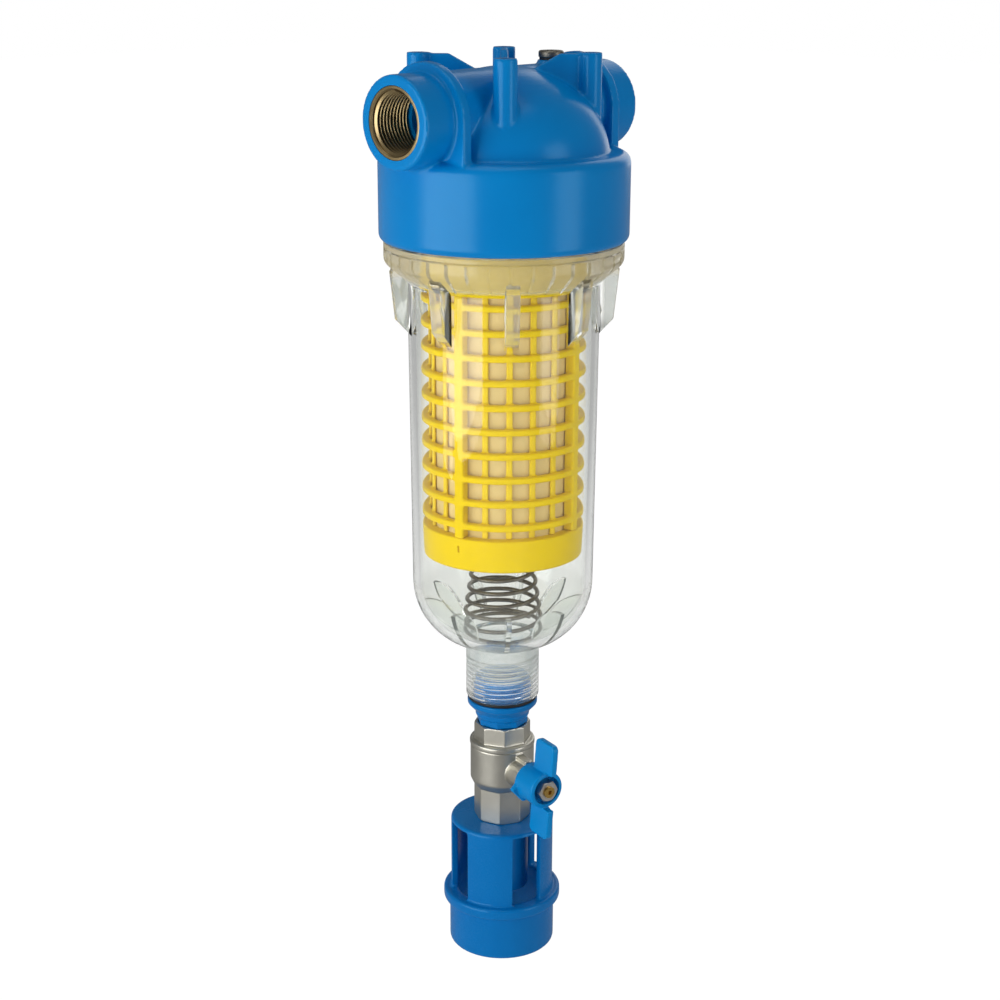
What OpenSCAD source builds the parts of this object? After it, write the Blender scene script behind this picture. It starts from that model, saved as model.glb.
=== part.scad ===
// Self cleaning water filter: a moulded head with two threaded ports, a clear screw-on bowl, a
// spring-loaded screen cartridge, and a drain ball valve that empties into an air-gap tundish.
// Heights inside the modules are measured from the port axis. hang() then lowers every piece
// so that the origin lies between the tops of the four bracket posts.

/* [Head] */
// Distance between the two port mouths
port_span = 128.6; // [122:0.2:140]
// Diameter of the port bosses
boss_d = 38.6; // [37:0.2:41]
// Distance from the bowl axis to the middle of an arched flange
arch_x = 45.5; // [44:0.5:48]
// Thickness of an arched flange
arch_t = 5; // [3:0.5:7]
// Radius of an arched flange about the port axis
arch_r = 23.5; // [22:0.5:26]
// Height of the bracket posts above the port axis
post_top = 25; // [23.5:0.5:28]
// Spacing of the bracket posts along the ports
post_dx = 52; // [46:1:56]
// Spacing of the bracket posts across the ports
post_dy = 51; // [46:1:56]
// Diameter of a bracket post
post_d = 10; // [8.5:0.5:12]
// Diameter of the bracket screw pilot holes
pilot_d = 4; // [3:0.2:5]
// Depth of the bracket screw pilot holes
pilot_depth = 14; // [8:1:16]
// Thickness of the webs that brace the posts
web_t = 3.5; // [2.5:0.5:5]
// Distance from the bowl axis to where a web starts to slope down
web_flat_r = 23.7; // [20:0.5:27]
// Diameter of the dome at its base
dome_d = 91; // [88:0.5:95]
// Height of the dome's top above the port axis
dome_top = 19.6; // [18:0.2:21.5]
// Depth of the dome's base below the port axis
dome_base = 20; // [19:0.5:22]
// Radius of the dome's side, next to its base
dome_side_r = 36; // [33:0.5:37]
// Outside diameter of the skirt
skirt_d = 109; // [107:0.5:114]
// Thickness of the skirt's wall
skirt_wall = 4.3; // [3.5:0.1:5]
// Depth of the skirt's foot below the port axis
skirt_foot = 54; // [52:0.5:58]
// Depth of the skirt's rounded shoulder below the port axis
shoulder_drop = 24; // [23:0.5:27]
// Radius of the skirt's shoulder
shoulder_r = 8; // [6:0.5:9]
// Radius of the skirt's foot
foot_r = 3; // [1:0.5:3.5]
// Wall thickness of the dome
head_wall = 4.5; // [3.5:0.5:5]
// Bore of the outlet well that takes the cartridge spigot
well_d = 26; // [24:0.5:27]
// Wall of the outlet well
well_wall = 3.5; // [2.5:0.5:4]
// Depth of the well's mouth below the port axis
well_foot = 46; // [42:0.5:50]
// Bore of the water passages behind the inserts
passage_d = 21; // [18:0.5:22]

/* [Port inserts] */
// Outside diameter of a brass insert
insert_d = 30; // [28.5:0.5:32]
// Length of a brass insert
insert_len = 20; // [17:0.5:22]
// Bore of the pipe thread, at its minor diameter
port_bore_d = 24.12; // [22:0.02:25]
// Width of the chamfer at the thread's mouth
port_chamfer = 1.2; // [0.5:0.1:1.5]

/* [Vent] */
// Distance from the bowl axis to the vent plug
vent_x = 29; // [27:0.5:31]
// Diameter of the vent boss
vent_boss_d = 12; // [11:0.5:14]
// Height of the vent boss above the port axis
vent_boss_top = 20.6; // [19.5:0.2:23]
// Diameter of the vent plug's head
vent_head_d = 11; // [9:0.5:11]
// Height of the vent plug's head
vent_head_h = 2.8; // [2:0.2:4]
// Diameter of the vent plug's shank
vent_shank_d = 7; // [5:0.5:7.5]
// Length of the vent plug's shank
vent_shank_len = 7; // [5:0.5:8]
// Thickness of the vent plug's sealing washer
vent_seal_t = 1; // [0.6:0.1:1.5]

/* [Bowl] */
// Diameter of the grip collar
collar_d = 105; // [103:0.5:107]
// Height of the grip collar
collar_h = 8.5; // [6:0.5:10]
// Height of the cone between the collar and the wall
cone_h = 9; // [7:0.5:11]
// Outside diameter of the wall at its top
bowl_top_d = 84.6; // [83.6:0.2:87]
// Outside diameter of the wall at its foot
bowl_foot_d = 82.3; // [81.7:0.2:84]
// Wall thickness
bowl_wall = 3.3; // [2.5:0.1:3.5]
// Thickness of the wall inside the head's thread
thread_wall = 5; // [4.4:0.1:5.6]
// Depth of the rounded foot's start below the port axis
bowl_straight = 210; // [207:0.5:230]
// Radius of the rounded foot
foot_round = 32; // [30:0.5:33]
// Outside diameter of the drain neck
neck_d = 33.8; // [32.5:0.2:36]
// Length of the drain neck
neck_len = 26.2; // [24:0.2:32]
// Bore of the drain neck
neck_bore_d = 26.8; // [25.8:0.2:28]
// Number of wrench lugs, and of fins in the rounded foot
lug_count = 9; // [6:1:9]
// Thickness of a wrench lug
lug_t = 6; // [3:0.5:7]
// Radius that the lugs reach at their top
lug_reach = 50.5; // [48:0.5:51.5]
// How much less the lugs reach at their lower corner
lug_taper = 2.2; // [0:0.2:4]
// Length of a wrench lug
lug_len = 32; // [24:1:38]
// Height of the slope at a lug's lower end
lug_slope_h = 9; // [4:0.5:12]
// Thickness of a fin
fin_t = 2.2; // [1.5:0.1:3]
// Angle below the rounded foot's start at which the fins' tips lie
fin_start = 15; // [8:1:30]
// Turn of the lugs and fins about the bowl axis
bowl_turn = -1.5; // [-20:0.5:20]
// Section diameter of the bowl's sealing ring
bowl_seal_d = 2.8; // [2.4:0.1:3]

/* [Cartridge] */
// Outside diameter of the cage rings
ring_d = 73; // [70:0.5:73.4]
// Radial depth of a cage ring
ring_depth = 3.75; // [2:0.25:4]
// Height of a cage ring
ring_h = 2.8; // [1.5:0.1:3.5]
// Distance between rings
ring_pitch = 10.8; // [9:0.2:14]
// Height of the lowest ring above the bottom cap
first_ring = 4.3; // [2:0.1:9]
// Height of the top cap
top_cap_h = 26.5; // [12:0.5:30]
// Height of the bottom cap
bottom_cap_h = 15; // [12:0.5:18]
// Width of the main ribs
rib_w = 4.25; // [3:0.25:6]
// Number of main ribs
rib_count = 4; // [3:1:6]
// Number of fine ribs behind the rings, counting those behind main ribs
fine_rib_count = 20; // [12:4:28]
// Width of the fine ribs
fine_rib_w = 2.7; // [1:0.1:3.5]
// Thickness of the filter screen
screen_t = 0.6; // [0.4:0.1:1]
// Wall of the core tube that holds the screen up
core_wall = 2; // [1.5:0.1:3]
// Length of the outlet spigot above the top cap
spigot_len = 15; // [12:0.5:17]
// Bore of the outlet spigot
spigot_bore_d = 18; // [14:0.5:19]
// Section diameter of the spigot's sealing ring
spigot_seal_d = 2.4; // [1.8:0.1:2.6]
// Travel of the cartridge against its spring
cart_travel = 10; // [6:0.5:10.5]
// Height that is left under the cartridge at the end of its travel
sump_gap = 4.1; // [3.5:0.1:8]
// Turn of the cage about the bowl axis
cage_turn = 12.5; // [0:0.5:89.5]

/* [Spring] */
// Diameter of the spring wire
wire_d = 2; // [1.4:0.1:2.4]
// Diameter of the top coil, to the wire's middle
spring_top_d = 26; // [25:0.5:30]
// Diameter of the bottom coil, to the wire's middle
spring_foot_d = 37.4; // [34:0.2:38]
// Number of coils
spring_turns = 5.5; // [4:0.25:7]

/* [Drain nipple] */
// Length of thread inside the drain neck
nipple_top_len = 10; // [8:0.5:16]
// Height of the nipple's flange
nipple_flange_h = 2.4; // [1.6:0.2:4]
// Diameter of the nipple's flange
nipple_flange_d = 32.6; // [31:0.2:34]
// Diameter of the step under the flange
nipple_step_d = 25.4; // [24.4:0.2:28]
// Height of the step and the cones beside it
nipple_step_h = 10; // [8:0.5:14]
// Length of thread inside the valve
nipple_foot_len = 9; // [6:0.5:9.5]
// Bore of the nipple and of the valve
drain_bore_d = 14.4; // [12:0.2:15]
// Section diameter of the nipple's sealing ring
nipple_seal_d = 1.8; // [1.4:0.1:2.4]

/* [Valve] */
// Distance across the vertices of the octagon ends
oct_d = 26.6; // [25.6:0.2:29]
// Height of the upper octagon
oct_top_h = 8.5; // [7:0.5:12]
// Height of the lower octagon
oct_foot_h = 17; // [16:0.5:22]
// Bore of the end threads
valve_thread_d = 20.8; // [20.2:0.2:21.4]
// Diameter of the end piece's collar
valve_collar_d = 30.6; // [30:0.2:33]
// Height of the end piece's collar
valve_collar_h = 2.5; // [1.5:0.5:4]
// Diameter of the round body
valve_body_d = 30; // [29:0.2:32]
// Height of the round body
valve_body_h = 20.6; // [19.6:0.2:25]
// Diameter of the ball
ball_d = 20.4; // [19.6:0.2:20.8]
// Length of the end piece inside the body
valve_spigot_len = 4.4; // [3.8:0.2:4.8]
// Height of a ball seat
seat_h = 3.2; // [2.6:0.1:3.6]
// Diameter of the stem boss
stem_boss_d = 14; // [12:0.5:16]
// Reach of the stem boss from the bowl axis
stem_boss_reach = 23; // [21:0.5:26]
// Diameter of the stem
stem_d = 7; // [6:0.2:7.6]
// Diameter of the stem's threaded end
stem_end_d = 5.4; // [4:0.2:6]
// Turn of the drain valve and the tundish about the bowl axis
drain_turn = -13; // [-45:1:45]
// Turn of the upper octagon against the stem
oct_top_turn = -5; // [-22:1:22]
// Turn of the lower octagon against the stem
oct_foot_turn = -15; // [-22:1:22]

/* [Handle] */
// Diameter of the hub
hub_d = 17.4; // [15:0.2:19]
// Length of the hub along the stem
hub_len = 14.2; // [12:0.2:18]
// Depth of the recess round the nut
hub_recess = 3.5; // [3:0.5:6]
// Span of the wings from tip to tip
wing_span = 46; // [40:1:52]
// Width of a wing along the stem
wing_w = 14.3; // [12:0.1:17]
// How far the wings stand out past the hub's face
wing_proud = 4.6; // [2:0.2:6]
// Lean of the wings against the pipe
wing_lean = 4.5; // [0:0.5:10]
// Thickness of a wing
wing_t = 3.25; // [2.5:0.25:5]
// Radius of a wing's corners
wing_corner = 2.5; // [1:0.25:4]
// Distance across the flats of the handle nut
nut_af = 9; // [7:0.5:10]
// Height of the handle nut
nut_h = 5; // [3:0.5:6]

/* [Tundish] */
// Outside diameter of the windowed cage
cage_d = 48.6; // [47:0.2:50]
// Height of the cage, from its top to the collar
cage_h = 37; // [33:0.5:44]
// Wall thickness of the cage and the spigot
tundish_wall = 3; // [2:0.25:3.5]
// Radius of the cage's rounded shoulder
cage_round = 1.5; // [1:0.5:5]
// Number of air windows
window_count = 4; // [3:1:5]
// Width of an air window
window_w = 14.6; // [10:0.2:17]
// Thickness of the roof left above an air window
roof_lip = 2; // [1.5:0.1:8]
// Diameter of the stop collar
stop_d = 55.8; // [53:0.2:60]
// Height of the stop collar
stop_h = 5.5; // [4:0.5:8]
// Outside diameter of the drain spigot
drain_d = 50; // [49:0.2:52]
// Length of the drain spigot below the collar
drain_len = 22; // [16:0.5:30]
// Outside diameter of the nozzle under the tundish's roof
nozzle_d = 25; // [22:0.5:27]
// Distance from the nozzle's mouth up from the stop collar
nozzle_gap = 1; // [0:0.5:26]
// Turn of the windows against the stem
window_turn = -3; // [-45:1:45]

/* [Clearances] */
// Gap between pieces that are moulded or screwed together
fit_gap = 0.05; // [0.03:0.01:0.1]
// Gap between the bowl's thread and the head
thread_gap = 0.4; // [0.3:0.05:0.6]
// Gap between the head's foot and the bowl's collar
seam_gap = 0.5; // [0.3:0.1:1]
// Gap round pieces that slide, roll or turn on a round face
slide_gap = 0.2; // [0.15:0.05:0.3]
// Gap between the stem and its bore
stem_gap = 0.05; // [0.03:0.01:0.09]

/* [Hidden] */
$fn = 96;

head_blue = [0.00, 0.42, 0.72];
drain_blue = [0.00, 0.45, 0.74];
clear_plastic = [0.85, 0.88, 0.87, 0.45];
cage_yellow = [0.98, 0.86, 0.05];
screen_white = [0.95, 0.88, 0.80];
seal_black = [0.08, 0.08, 0.08];
seat_white = [0.93, 0.93, 0.90];
nickel = [0.70, 0.68, 0.64];
bright_brass = [0.80, 0.65, 0.35];
spring_steel = [0.33, 0.32, 0.30];

// Small overlap that carries a cut past a face
cut = 1;

// Head, radii
boss_r = boss_d / 2;
dome_r = dome_d / 2;
skirt_r = skirt_d / 2;
socket_r = skirt_r - skirt_wall;
well_r = well_d / 2;
well_out_r = well_r + well_wall;
port_x = port_span / 2;
insert_r = insert_d / 2;
post_r = norm([post_dx, post_dy]) / 2;

// Bowl seal and rim, below the port axis
seat_ring_z = -(shoulder_drop + 2.5);
rim_gap = 0.8;
rim_top = seat_ring_z - rim_gap;
seal_groove_depth = bowl_seal_d + 2 * slide_gap - rim_gap;
seal_groove_w = bowl_seal_d + 2 * slide_gap;
bowl_neck_r = socket_r - thread_gap;
seal_mid_r = bowl_neck_r - thread_wall / 2;
seal_z = seat_ring_z - slide_gap - bowl_seal_d / 2;

// Bowl, heights and radii
collar_top = -skirt_foot - seam_gap;
collar_foot = collar_top - collar_h;
wall_top = collar_foot - cone_h;
foot_start = -bowl_straight;
bowl_top_r = bowl_top_d / 2;
bowl_foot_r = bowl_foot_d / 2;
foot_mid_r = bowl_foot_r - foot_round;
neck_r = neck_d / 2;
neck_bore_r = neck_bore_d / 2;
function foot_z(r, round_r) = foot_start - sqrt(pow(round_r, 2) - pow(r - foot_mid_r, 2));
neck_top = foot_z(neck_r, foot_round);
neck_foot = neck_top - neck_len;
inner_round = foot_round - bowl_wall;

// Cartridge, heights
cap_top = -well_foot - slide_gap;
cart_foot = foot_start + cart_travel + sump_gap;
cage_top = cap_top - top_cap_h;
cage_foot = cart_foot + bottom_cap_h;
cage_h_open = cage_top - cage_foot;
ring_r = ring_d / 2;
ring_in_r = ring_r - ring_depth;
fine_rib_depth = 1.2;
fine_rib_in_r = ring_in_r + 0.3 - fine_rib_depth;
screen_r = fine_rib_in_r - fit_gap;
core_r = screen_r - screen_t - fit_gap;
spigot_r = well_r - slide_gap;
cap_floor_t = 3;
spring_boss_h = 2.5;
spring_boss_r = (spring_top_d - wire_d) / 2 - slide_gap;

// Spring, heights of the wire's middle
spring_top_z = cart_foot - slide_gap - wire_d / 2;
spring_foot_z = foot_z(spring_foot_d / 2, inner_round - wire_d / 2 - slide_gap);
fin_in_r = (spring_foot_d + wire_d) / 2 + slide_gap;

// Drain nipple, heights
flange_top = neck_foot - nipple_seal_d - 2 * fit_gap;
flange_foot = flange_top - nipple_flange_h;
valve_top = flange_foot - nipple_step_h;
nipple_thread_r = neck_bore_r - fit_gap;
nipple_flange_r = nipple_flange_d / 2;
nipple_step_r = nipple_step_d / 2;
drain_r = drain_bore_d / 2;
valve_thread_r = valve_thread_d / 2;

// Valve, heights
oct_r = oct_d / 2;
collar_z = valve_top - oct_top_h;
body_top = collar_z - valve_collar_h;
body_foot = body_top - valve_body_h;
valve_foot = body_foot - oct_foot_h;
ball_z = (body_top + body_foot) / 2;
ball_r = ball_d / 2;
seat_r = ball_r + slide_gap;
chamber_r = ball_r + 0.6;
spigot_thread_r = chamber_r + 1.4;
spigot_foot = body_top - valve_spigot_len;
lower_seat_top = 2 * ball_z - spigot_foot;
lower_seat_foot = lower_seat_top - seat_h;
valve_body_r = valve_body_d / 2;

// Stem and handle, measured out along the stem from the bowl axis
stem_r = stem_d / 2;
stem_bore_r = stem_r + stem_gap;
stem_flange_r = stem_r + 1.4;
stem_flange_t = 1.6;
stem_flange_in = ball_r + slide_gap;
tang_t = 2.4;
tang_depth = 0.7 * (ball_r - drain_r);
handle_in = stem_boss_reach + 0.5;
handle_out = handle_in + hub_len;
nut_in = handle_out - hub_recess;
stem_out = nut_in + nut_h + 1;
seal_section = 1.1;
seal_groove_r = stem_r - seal_section - fit_gap;
seal_places = [stem_flange_in + stem_flange_t + 1.6, stem_flange_in + stem_flange_t + 4.2];

// Tundish, heights
tundish_top = valve_foot - fit_gap;
cage_end = tundish_top - cage_h;
stop_foot = cage_end - stop_h;
drain_foot = stop_foot - drain_len;
cage_r = cage_d / 2;
nozzle_r = nozzle_d / 2;
nozzle_foot = cage_end + nozzle_gap;
drain_out_r = drain_d / 2;
drain_in_r = drain_out_r - tundish_wall;
tundish_nipple_r = valve_thread_r - fit_gap;
tundish_nipple_len = 9;

// Points of an arc in the radius and height plane
function arc(mid, r, from, to, steps = 10) =
    [for (i = [0:steps])
        let (a = from + (to - from) * i / steps)
        [mid[0] + r * cos(a), mid[1] + r * sin(a)]];

// Quarter outline of a dome: a side arc that runs into a wider crown arc
function dome_outline(half_w, rise, side_r) =
    let (crown_r = (pow(half_w - side_r, 2) + rise * rise - side_r * side_r) / (2 * (rise - side_r)))
    let (turn = atan2(crown_r - rise, half_w - side_r))
    concat(
        arc([half_w - side_r, 0], side_r, 0, turn, 12),
        [for (p = arc([0, rise - crown_r], crown_r, turn, 90, 8)) [max(p[0], 0), p[1]]]
    );

// Lowers a piece from the port axis to the bracket posts' tops
module hang() {
    translate([0, 0, -post_top]) children();
}

// Turns the drain valve and the tundish about the bowl axis
module drain_side() {
    hang() rotate(drain_turn) children();
}

// Builds along the stem: +Z runs out along it and +Y stays up
module along_stem() {
    drain_side() translate([0, 0, ball_z]) rotate([90, 0, 0]) children();
}

// A piece of round section on the bowl axis, from its radius and height outline
module revolve(outline) {
    rotate_extrude() polygon(outline);
}

// A round ring of wire or rubber
module ring(mid_r, section_d, z) {
    translate([0, 0, z]) rotate_extrude() translate([mid_r, 0]) circle(d = section_d, $fn = 48);
}

// A tube from its radii and its two heights
module tube(out_r, in_r, foot, top) {
    difference() {
        translate([0, 0, foot]) cylinder(r = out_r, h = top - foot);
        translate([0, 0, foot - cut]) cylinder(r = in_r, h = top - foot + 2 * cut);
    }
}

// A cylinder along the ports, from one distance to another
module along_port(r, from, to) {
    translate([min(from, to), 0, 0]) rotate([0, 90, 0]) cylinder(r = r, h = abs(to - from));
}

// Solid dome without its bores
module dome_solid(half_w, rise, side_r, depth) {
    translate([0, 0, -dome_base])
        revolve(concat([[0, -depth], [half_w, -depth]], dome_outline(half_w, rise, side_r)));
}

module skirt_solid() {
    revolve(concat(
        [[0, -skirt_foot]],
        arc([skirt_r - foot_r, -skirt_foot + foot_r], foot_r, -90, 0, 6),
        arc([skirt_r - shoulder_r, -shoulder_drop], shoulder_r, 0, 90),
        [[0, -shoulder_drop + shoulder_r]]
    ));
}

// Arched flange behind a port boss, with straight sides down to the skirt
module arch_flange() {
    rotate([90, 0, 90]) linear_extrude(arch_t, center = true) {
        circle(r = arch_r);
        translate([-arch_r, -shoulder_drop]) square([2 * arch_r, shoulder_drop]);
    }
}

// Web that braces a post against the dome
module post_web() {
    slope_end_r = web_flat_r / 2;
    rotate([90, 0, 0]) linear_extrude(web_t, center = true)
        polygon([
            [slope_end_r, 0], [slope_end_r, dome_top - 1.6], [web_flat_r, post_top - 0.4],
            [post_r, post_top - 0.4], [post_r, -dome_base / 2]
        ]);
}

module bracket_posts() {
    for (x = [-1, 1], y = [-1, 1]) {
        translate([x * post_dx / 2, y * post_dy / 2, -dome_base / 2])
            cylinder(d = post_d, h = post_top + dome_base / 2);
        rotate(atan2(y * post_dy, x * post_dx)) post_web();
    }
}

module head_cavity() {
    dome_solid(dome_r - head_wall, dome_base + dome_top - head_wall, dome_side_r - head_wall,
        -seat_ring_z - dome_base + cut);
    translate([0, 0, -skirt_foot - cut]) cylinder(r = socket_r, h = skirt_foot + seat_ring_z + cut);
}

// Well for the cartridge spigot, and the tube that leads from it to the outlet
module outlet_well() {
    translate([0, 0, -well_foot]) cylinder(r = well_out_r, h = well_foot + dome_top - head_wall);
    along_port(passage_d / 2 + well_wall, 0, dome_r - head_wall);
}

module head() {
    hang() color(head_blue) difference() {
        union() {
            difference() {
                union() {
                    dome_solid(dome_r, dome_base + dome_top, dome_side_r, 0);
                    skirt_solid();
                    along_port(boss_r, -port_x, port_x);
                    for (side = [-1, 1]) translate([side * arch_x, 0, 0]) arch_flange();
                    bracket_posts();
                    translate([vent_x, 0, 0]) cylinder(d = vent_boss_d, h = vent_boss_top);
                }
                head_cavity();
            }
            outlet_well();
        }
        translate([0, 0, -well_foot - cut]) cylinder(r = well_r, h = well_foot + passage_d / 2 + cut);
        along_port(passage_d / 2, 0, port_x);
        along_port(passage_d / 2, -port_x, -well_out_r - cut);
        for (side = [-1, 1])
            along_port(insert_r + fit_gap, side * (port_x + cut), side * (port_x - insert_len));
        for (x = [-1, 1], y = [-1, 1])
            translate([x * post_dx / 2, y * post_dy / 2, post_top - pilot_depth])
                cylinder(d = pilot_d, h = pilot_depth + cut);
        translate([vent_x, 0, vent_boss_top - vent_shank_len - 0.5])
            cylinder(d = vent_shank_d + 2 * fit_gap, h = vent_shank_len + cut);
        translate([vent_x, 0, 0]) cylinder(d = 2.5, h = vent_boss_top);
    }
}

// Brass port insert, drawn at the outlet with its mouth at the port's face
module port_insert() {
    groove = 1;
    bore_r = port_bore_d / 2;
    translate([port_x - insert_len + fit_gap, 0, 0]) rotate([0, 90, 0])
        revolve([
            [bore_r, 0], [insert_r, 0], [insert_r, insert_len / 3],
            [insert_r - groove, insert_len / 3 + groove], [insert_r - groove, 2 * insert_len / 3 - groove],
            [insert_r, 2 * insert_len / 3], [insert_r, insert_len - fit_gap],
            [bore_r + port_chamfer, insert_len - fit_gap], [bore_r, insert_len - fit_gap - port_chamfer]
        ]);
}

module inlet_insert() {
    hang() color(bright_brass) mirror([1, 0, 0]) port_insert();
}

module outlet_insert() {
    hang() color(bright_brass) port_insert();
}

module vent_plug() {
    head_z = vent_boss_top + vent_seal_t + 2 * fit_gap;
    key_af = 4;
    hang() color(nickel) translate([vent_x, 0, 0]) difference() {
        union() {
            translate([0, 0, vent_boss_top - vent_shank_len])
                cylinder(d = vent_shank_d, h = vent_shank_len + vent_seal_t + cut);
            translate([0, 0, head_z])
                revolve([
                    [0, 0], [vent_head_d / 2, 0], [vent_head_d / 2, vent_head_h - 0.8],
                    [vent_head_d / 2 - 0.8, vent_head_h], [0, vent_head_h]
                ]);
        }
        translate([0, 0, head_z - 1]) cylinder(d = key_af / cos(30), h = vent_head_h + 2, $fn = 6);
    }
}

module vent_seal() {
    hang() color(seal_black) translate([vent_x, 0, vent_boss_top + fit_gap])
        tube(vent_head_d / 2 - 0.4, vent_shank_d / 2 + fit_gap, 0, vent_seal_t);
}

module bowl_seal() {
    hang() color(seal_black) ring(seal_mid_r, bowl_seal_d, seal_z);
}

// Outline of the bowl's wall: down the outside to the neck, and back up the inside
function bowl_outline() = concat(
    [[bowl_neck_r, rim_top], [bowl_neck_r, collar_top], [collar_d / 2, collar_top],
     [collar_d / 2, collar_foot], [bowl_top_r, wall_top], [bowl_foot_r, foot_start]],
    arc([foot_mid_r, foot_start], foot_round, 0, -asin((foot_start - neck_top) / foot_round), 14),
    [[neck_r, neck_foot], [neck_bore_r, neck_foot]],
    inner_foot_outline(),
    [[bowl_top_r - bowl_wall, wall_top], [bowl_neck_r - thread_wall, collar_foot],
     [bowl_neck_r - thread_wall, rim_top]]
);

// Inside of the rounded foot, from the neck's bore up to the wall
function inner_foot_outline() =
    arc([foot_mid_r, foot_start], inner_round,
        -acos((neck_bore_r - foot_mid_r) / inner_round), 0, 14);

module wrench_lugs() {
    top_z = collar_foot - cone_h * (collar_d / 2 - lug_reach) / (collar_d / 2 - bowl_top_r);
    root_r = bowl_foot_r - bowl_wall / 3;
    for (i = [0:lug_count - 1]) rotate(i * 360 / lug_count - 90)
        rotate([90, 0, 0]) linear_extrude(lug_t, center = true)
            polygon([
                [root_r, wall_top], [lug_reach, top_z],
                [lug_reach - lug_taper, top_z - lug_len + lug_slope_h], [root_r, top_z - lug_len]
            ]);
}

// Fins that stand in the rounded foot and centre the spring, with a hollow upper edge
module foot_fins() {
    sunk_r = inner_round + bowl_wall / 3;
    tip = [foot_mid_r + sunk_r * cos(fin_start), foot_start - sunk_r * sin(fin_start)];
    rise = tip[1] - spring_foot_z;
    upper_edge = [for (a = [0:15:90])
        [tip[0] - (tip[0] - fin_in_r) * sin(a), spring_foot_z + rise * cos(a)]];
    lower_edge = arc([foot_mid_r, foot_start], sunk_r,
        -acos((fin_in_r - foot_mid_r) / sunk_r), -fin_start - 1, 10);
    for (i = [0:lug_count - 1]) rotate(i * 360 / lug_count - 90)
        rotate([90, 0, 0]) linear_extrude(fin_t, center = true) polygon(concat(upper_edge, lower_edge));
}

module bowl() {
    hang() color(clear_plastic) rotate(bowl_turn) {
        difference() {
            revolve(bowl_outline());
            tube(seal_mid_r + seal_groove_w / 2, seal_mid_r - seal_groove_w / 2,
                rim_top - seal_groove_depth, rim_top + cut);
        }
        wrench_lugs();
        foot_fins();
    }
}

// Drain nipple: two threads, a flange with a cone under it, and flats that run down to the valve
module drain_nipple() {
    thread_r = valve_thread_r - fit_gap;
    thread_top = neck_foot + nipple_top_len;
    thread_foot = valve_top - nipple_foot_len;
    step_top = flange_foot - 0.4 * nipple_step_h;
    step_foot = flange_foot - 0.6 * nipple_step_h;
    flats_foot = valve_top + fit_gap;
    flats_r = nipple_step_r - 0.4;
    flats_taper = 0.6;
    hang() color(drain_blue) difference() {
        union() {
            revolve([
                [0, thread_top], [nipple_thread_r - 1, thread_top], [nipple_thread_r, thread_top - 1],
                [nipple_thread_r, flange_top], [nipple_flange_r, flange_top], [nipple_flange_r, flange_foot],
                [nipple_step_r, step_top], [nipple_step_r, step_foot], [thread_r, step_foot - 1],
                [thread_r, thread_foot], [0, thread_foot]
            ]);
            rotate(drain_turn) translate([0, 0, flats_foot])
                cylinder(r1 = flats_r - flats_taper, r2 = flats_r, h = step_foot - flats_foot + 0.2, $fn = 8);
        }
        translate([0, 0, thread_foot - cut]) cylinder(r = drain_r, h = thread_top - thread_foot + 2 * cut);
    }
}

module nipple_seal() {
    hang() color(seal_black)
        ring(nipple_flange_r - nipple_seal_d / 2, nipple_seal_d, neck_foot - nipple_seal_d / 2 - fit_gap);
}

// Spring wire: rings of points along a cone-shaped coil with a flat turn at each end
module spring() {
    sides = 8;
    steps_per_turn = 24;
    steps = floor(spring_turns * steps_per_turn);
    flat_turn = 0.75;
    function climb(turn) = max(0, min(1, (turn - flat_turn) / (spring_turns - 2 * flat_turn)));
    function coil_r(turn) = (spring_foot_d + (spring_top_d - spring_foot_d) * climb(turn)) / 2;
    function coil_z(turn) = spring_foot_z + (spring_top_z - spring_foot_z) * climb(turn);
    function wire_point(step, side) =
        let (turn = step / steps_per_turn)
        let (a = 360 * turn)
        let (b = 360 * side / sides)
        let (r = coil_r(turn) + wire_d / 2 * cos(b))
        [r * cos(a), r * sin(a), coil_z(turn) + wire_d / 2 * sin(b)];
    points = [for (i = [0:steps], j = [0:sides - 1]) wire_point(i, j)];
    function at(i, j) = i * sides + j % sides;
    wall_faces = [for (i = [0:steps - 1], j = [0:sides - 1])
        [at(i, j), at(i, j + 1), at(i + 1, j + 1), at(i + 1, j)]];
    end_faces = [[for (j = [sides - 1:-1:0]) at(0, j)], [for (j = [0:sides - 1]) at(steps, j)]];
    hang() color(spring_steel) polyhedron(points, concat(wall_faces, end_faces));
}

// Octagon bar with its end edges turned round
module octagon(foot, top, turn) {
    chamfer = 0.8;
    intersection() {
        translate([0, 0, foot]) rotate(22.5 + turn) cylinder(r = oct_r, h = top - foot, $fn = 8);
        revolve([
            [0, foot], [oct_r - chamfer, foot], [oct_r, foot + chamfer],
            [oct_r, top - chamfer], [oct_r - chamfer, top], [0, top]
        ]);
    }
}

module valve_end() {
    mouth = 0.6;
    thread_foot = valve_top - nipple_foot_len - 0.4;
    drain_side() color(nickel) difference() {
        union() {
            octagon(collar_z - cut / 2, valve_top, oct_top_turn);
            translate([0, 0, body_top]) cylinder(d = valve_collar_d, h = valve_collar_h);
            translate([0, 0, spigot_foot]) cylinder(r = spigot_thread_r, h = valve_spigot_len + cut);
        }
        translate([0, 0, thread_foot]) cylinder(r = valve_thread_r, h = nipple_foot_len + cut);
        translate([0, 0, valve_top - mouth])
            cylinder(r1 = valve_thread_r, r2 = valve_thread_r + mouth, h = mouth + 0.01);
        translate([0, 0, spigot_foot - cut]) cylinder(r = drain_r, h = valve_top - spigot_foot);
        translate([0, 0, spigot_foot - cut])
            cylinder(r = chamber_r - 0.2, h = seat_h + fit_gap + cut);
    }
}

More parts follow.
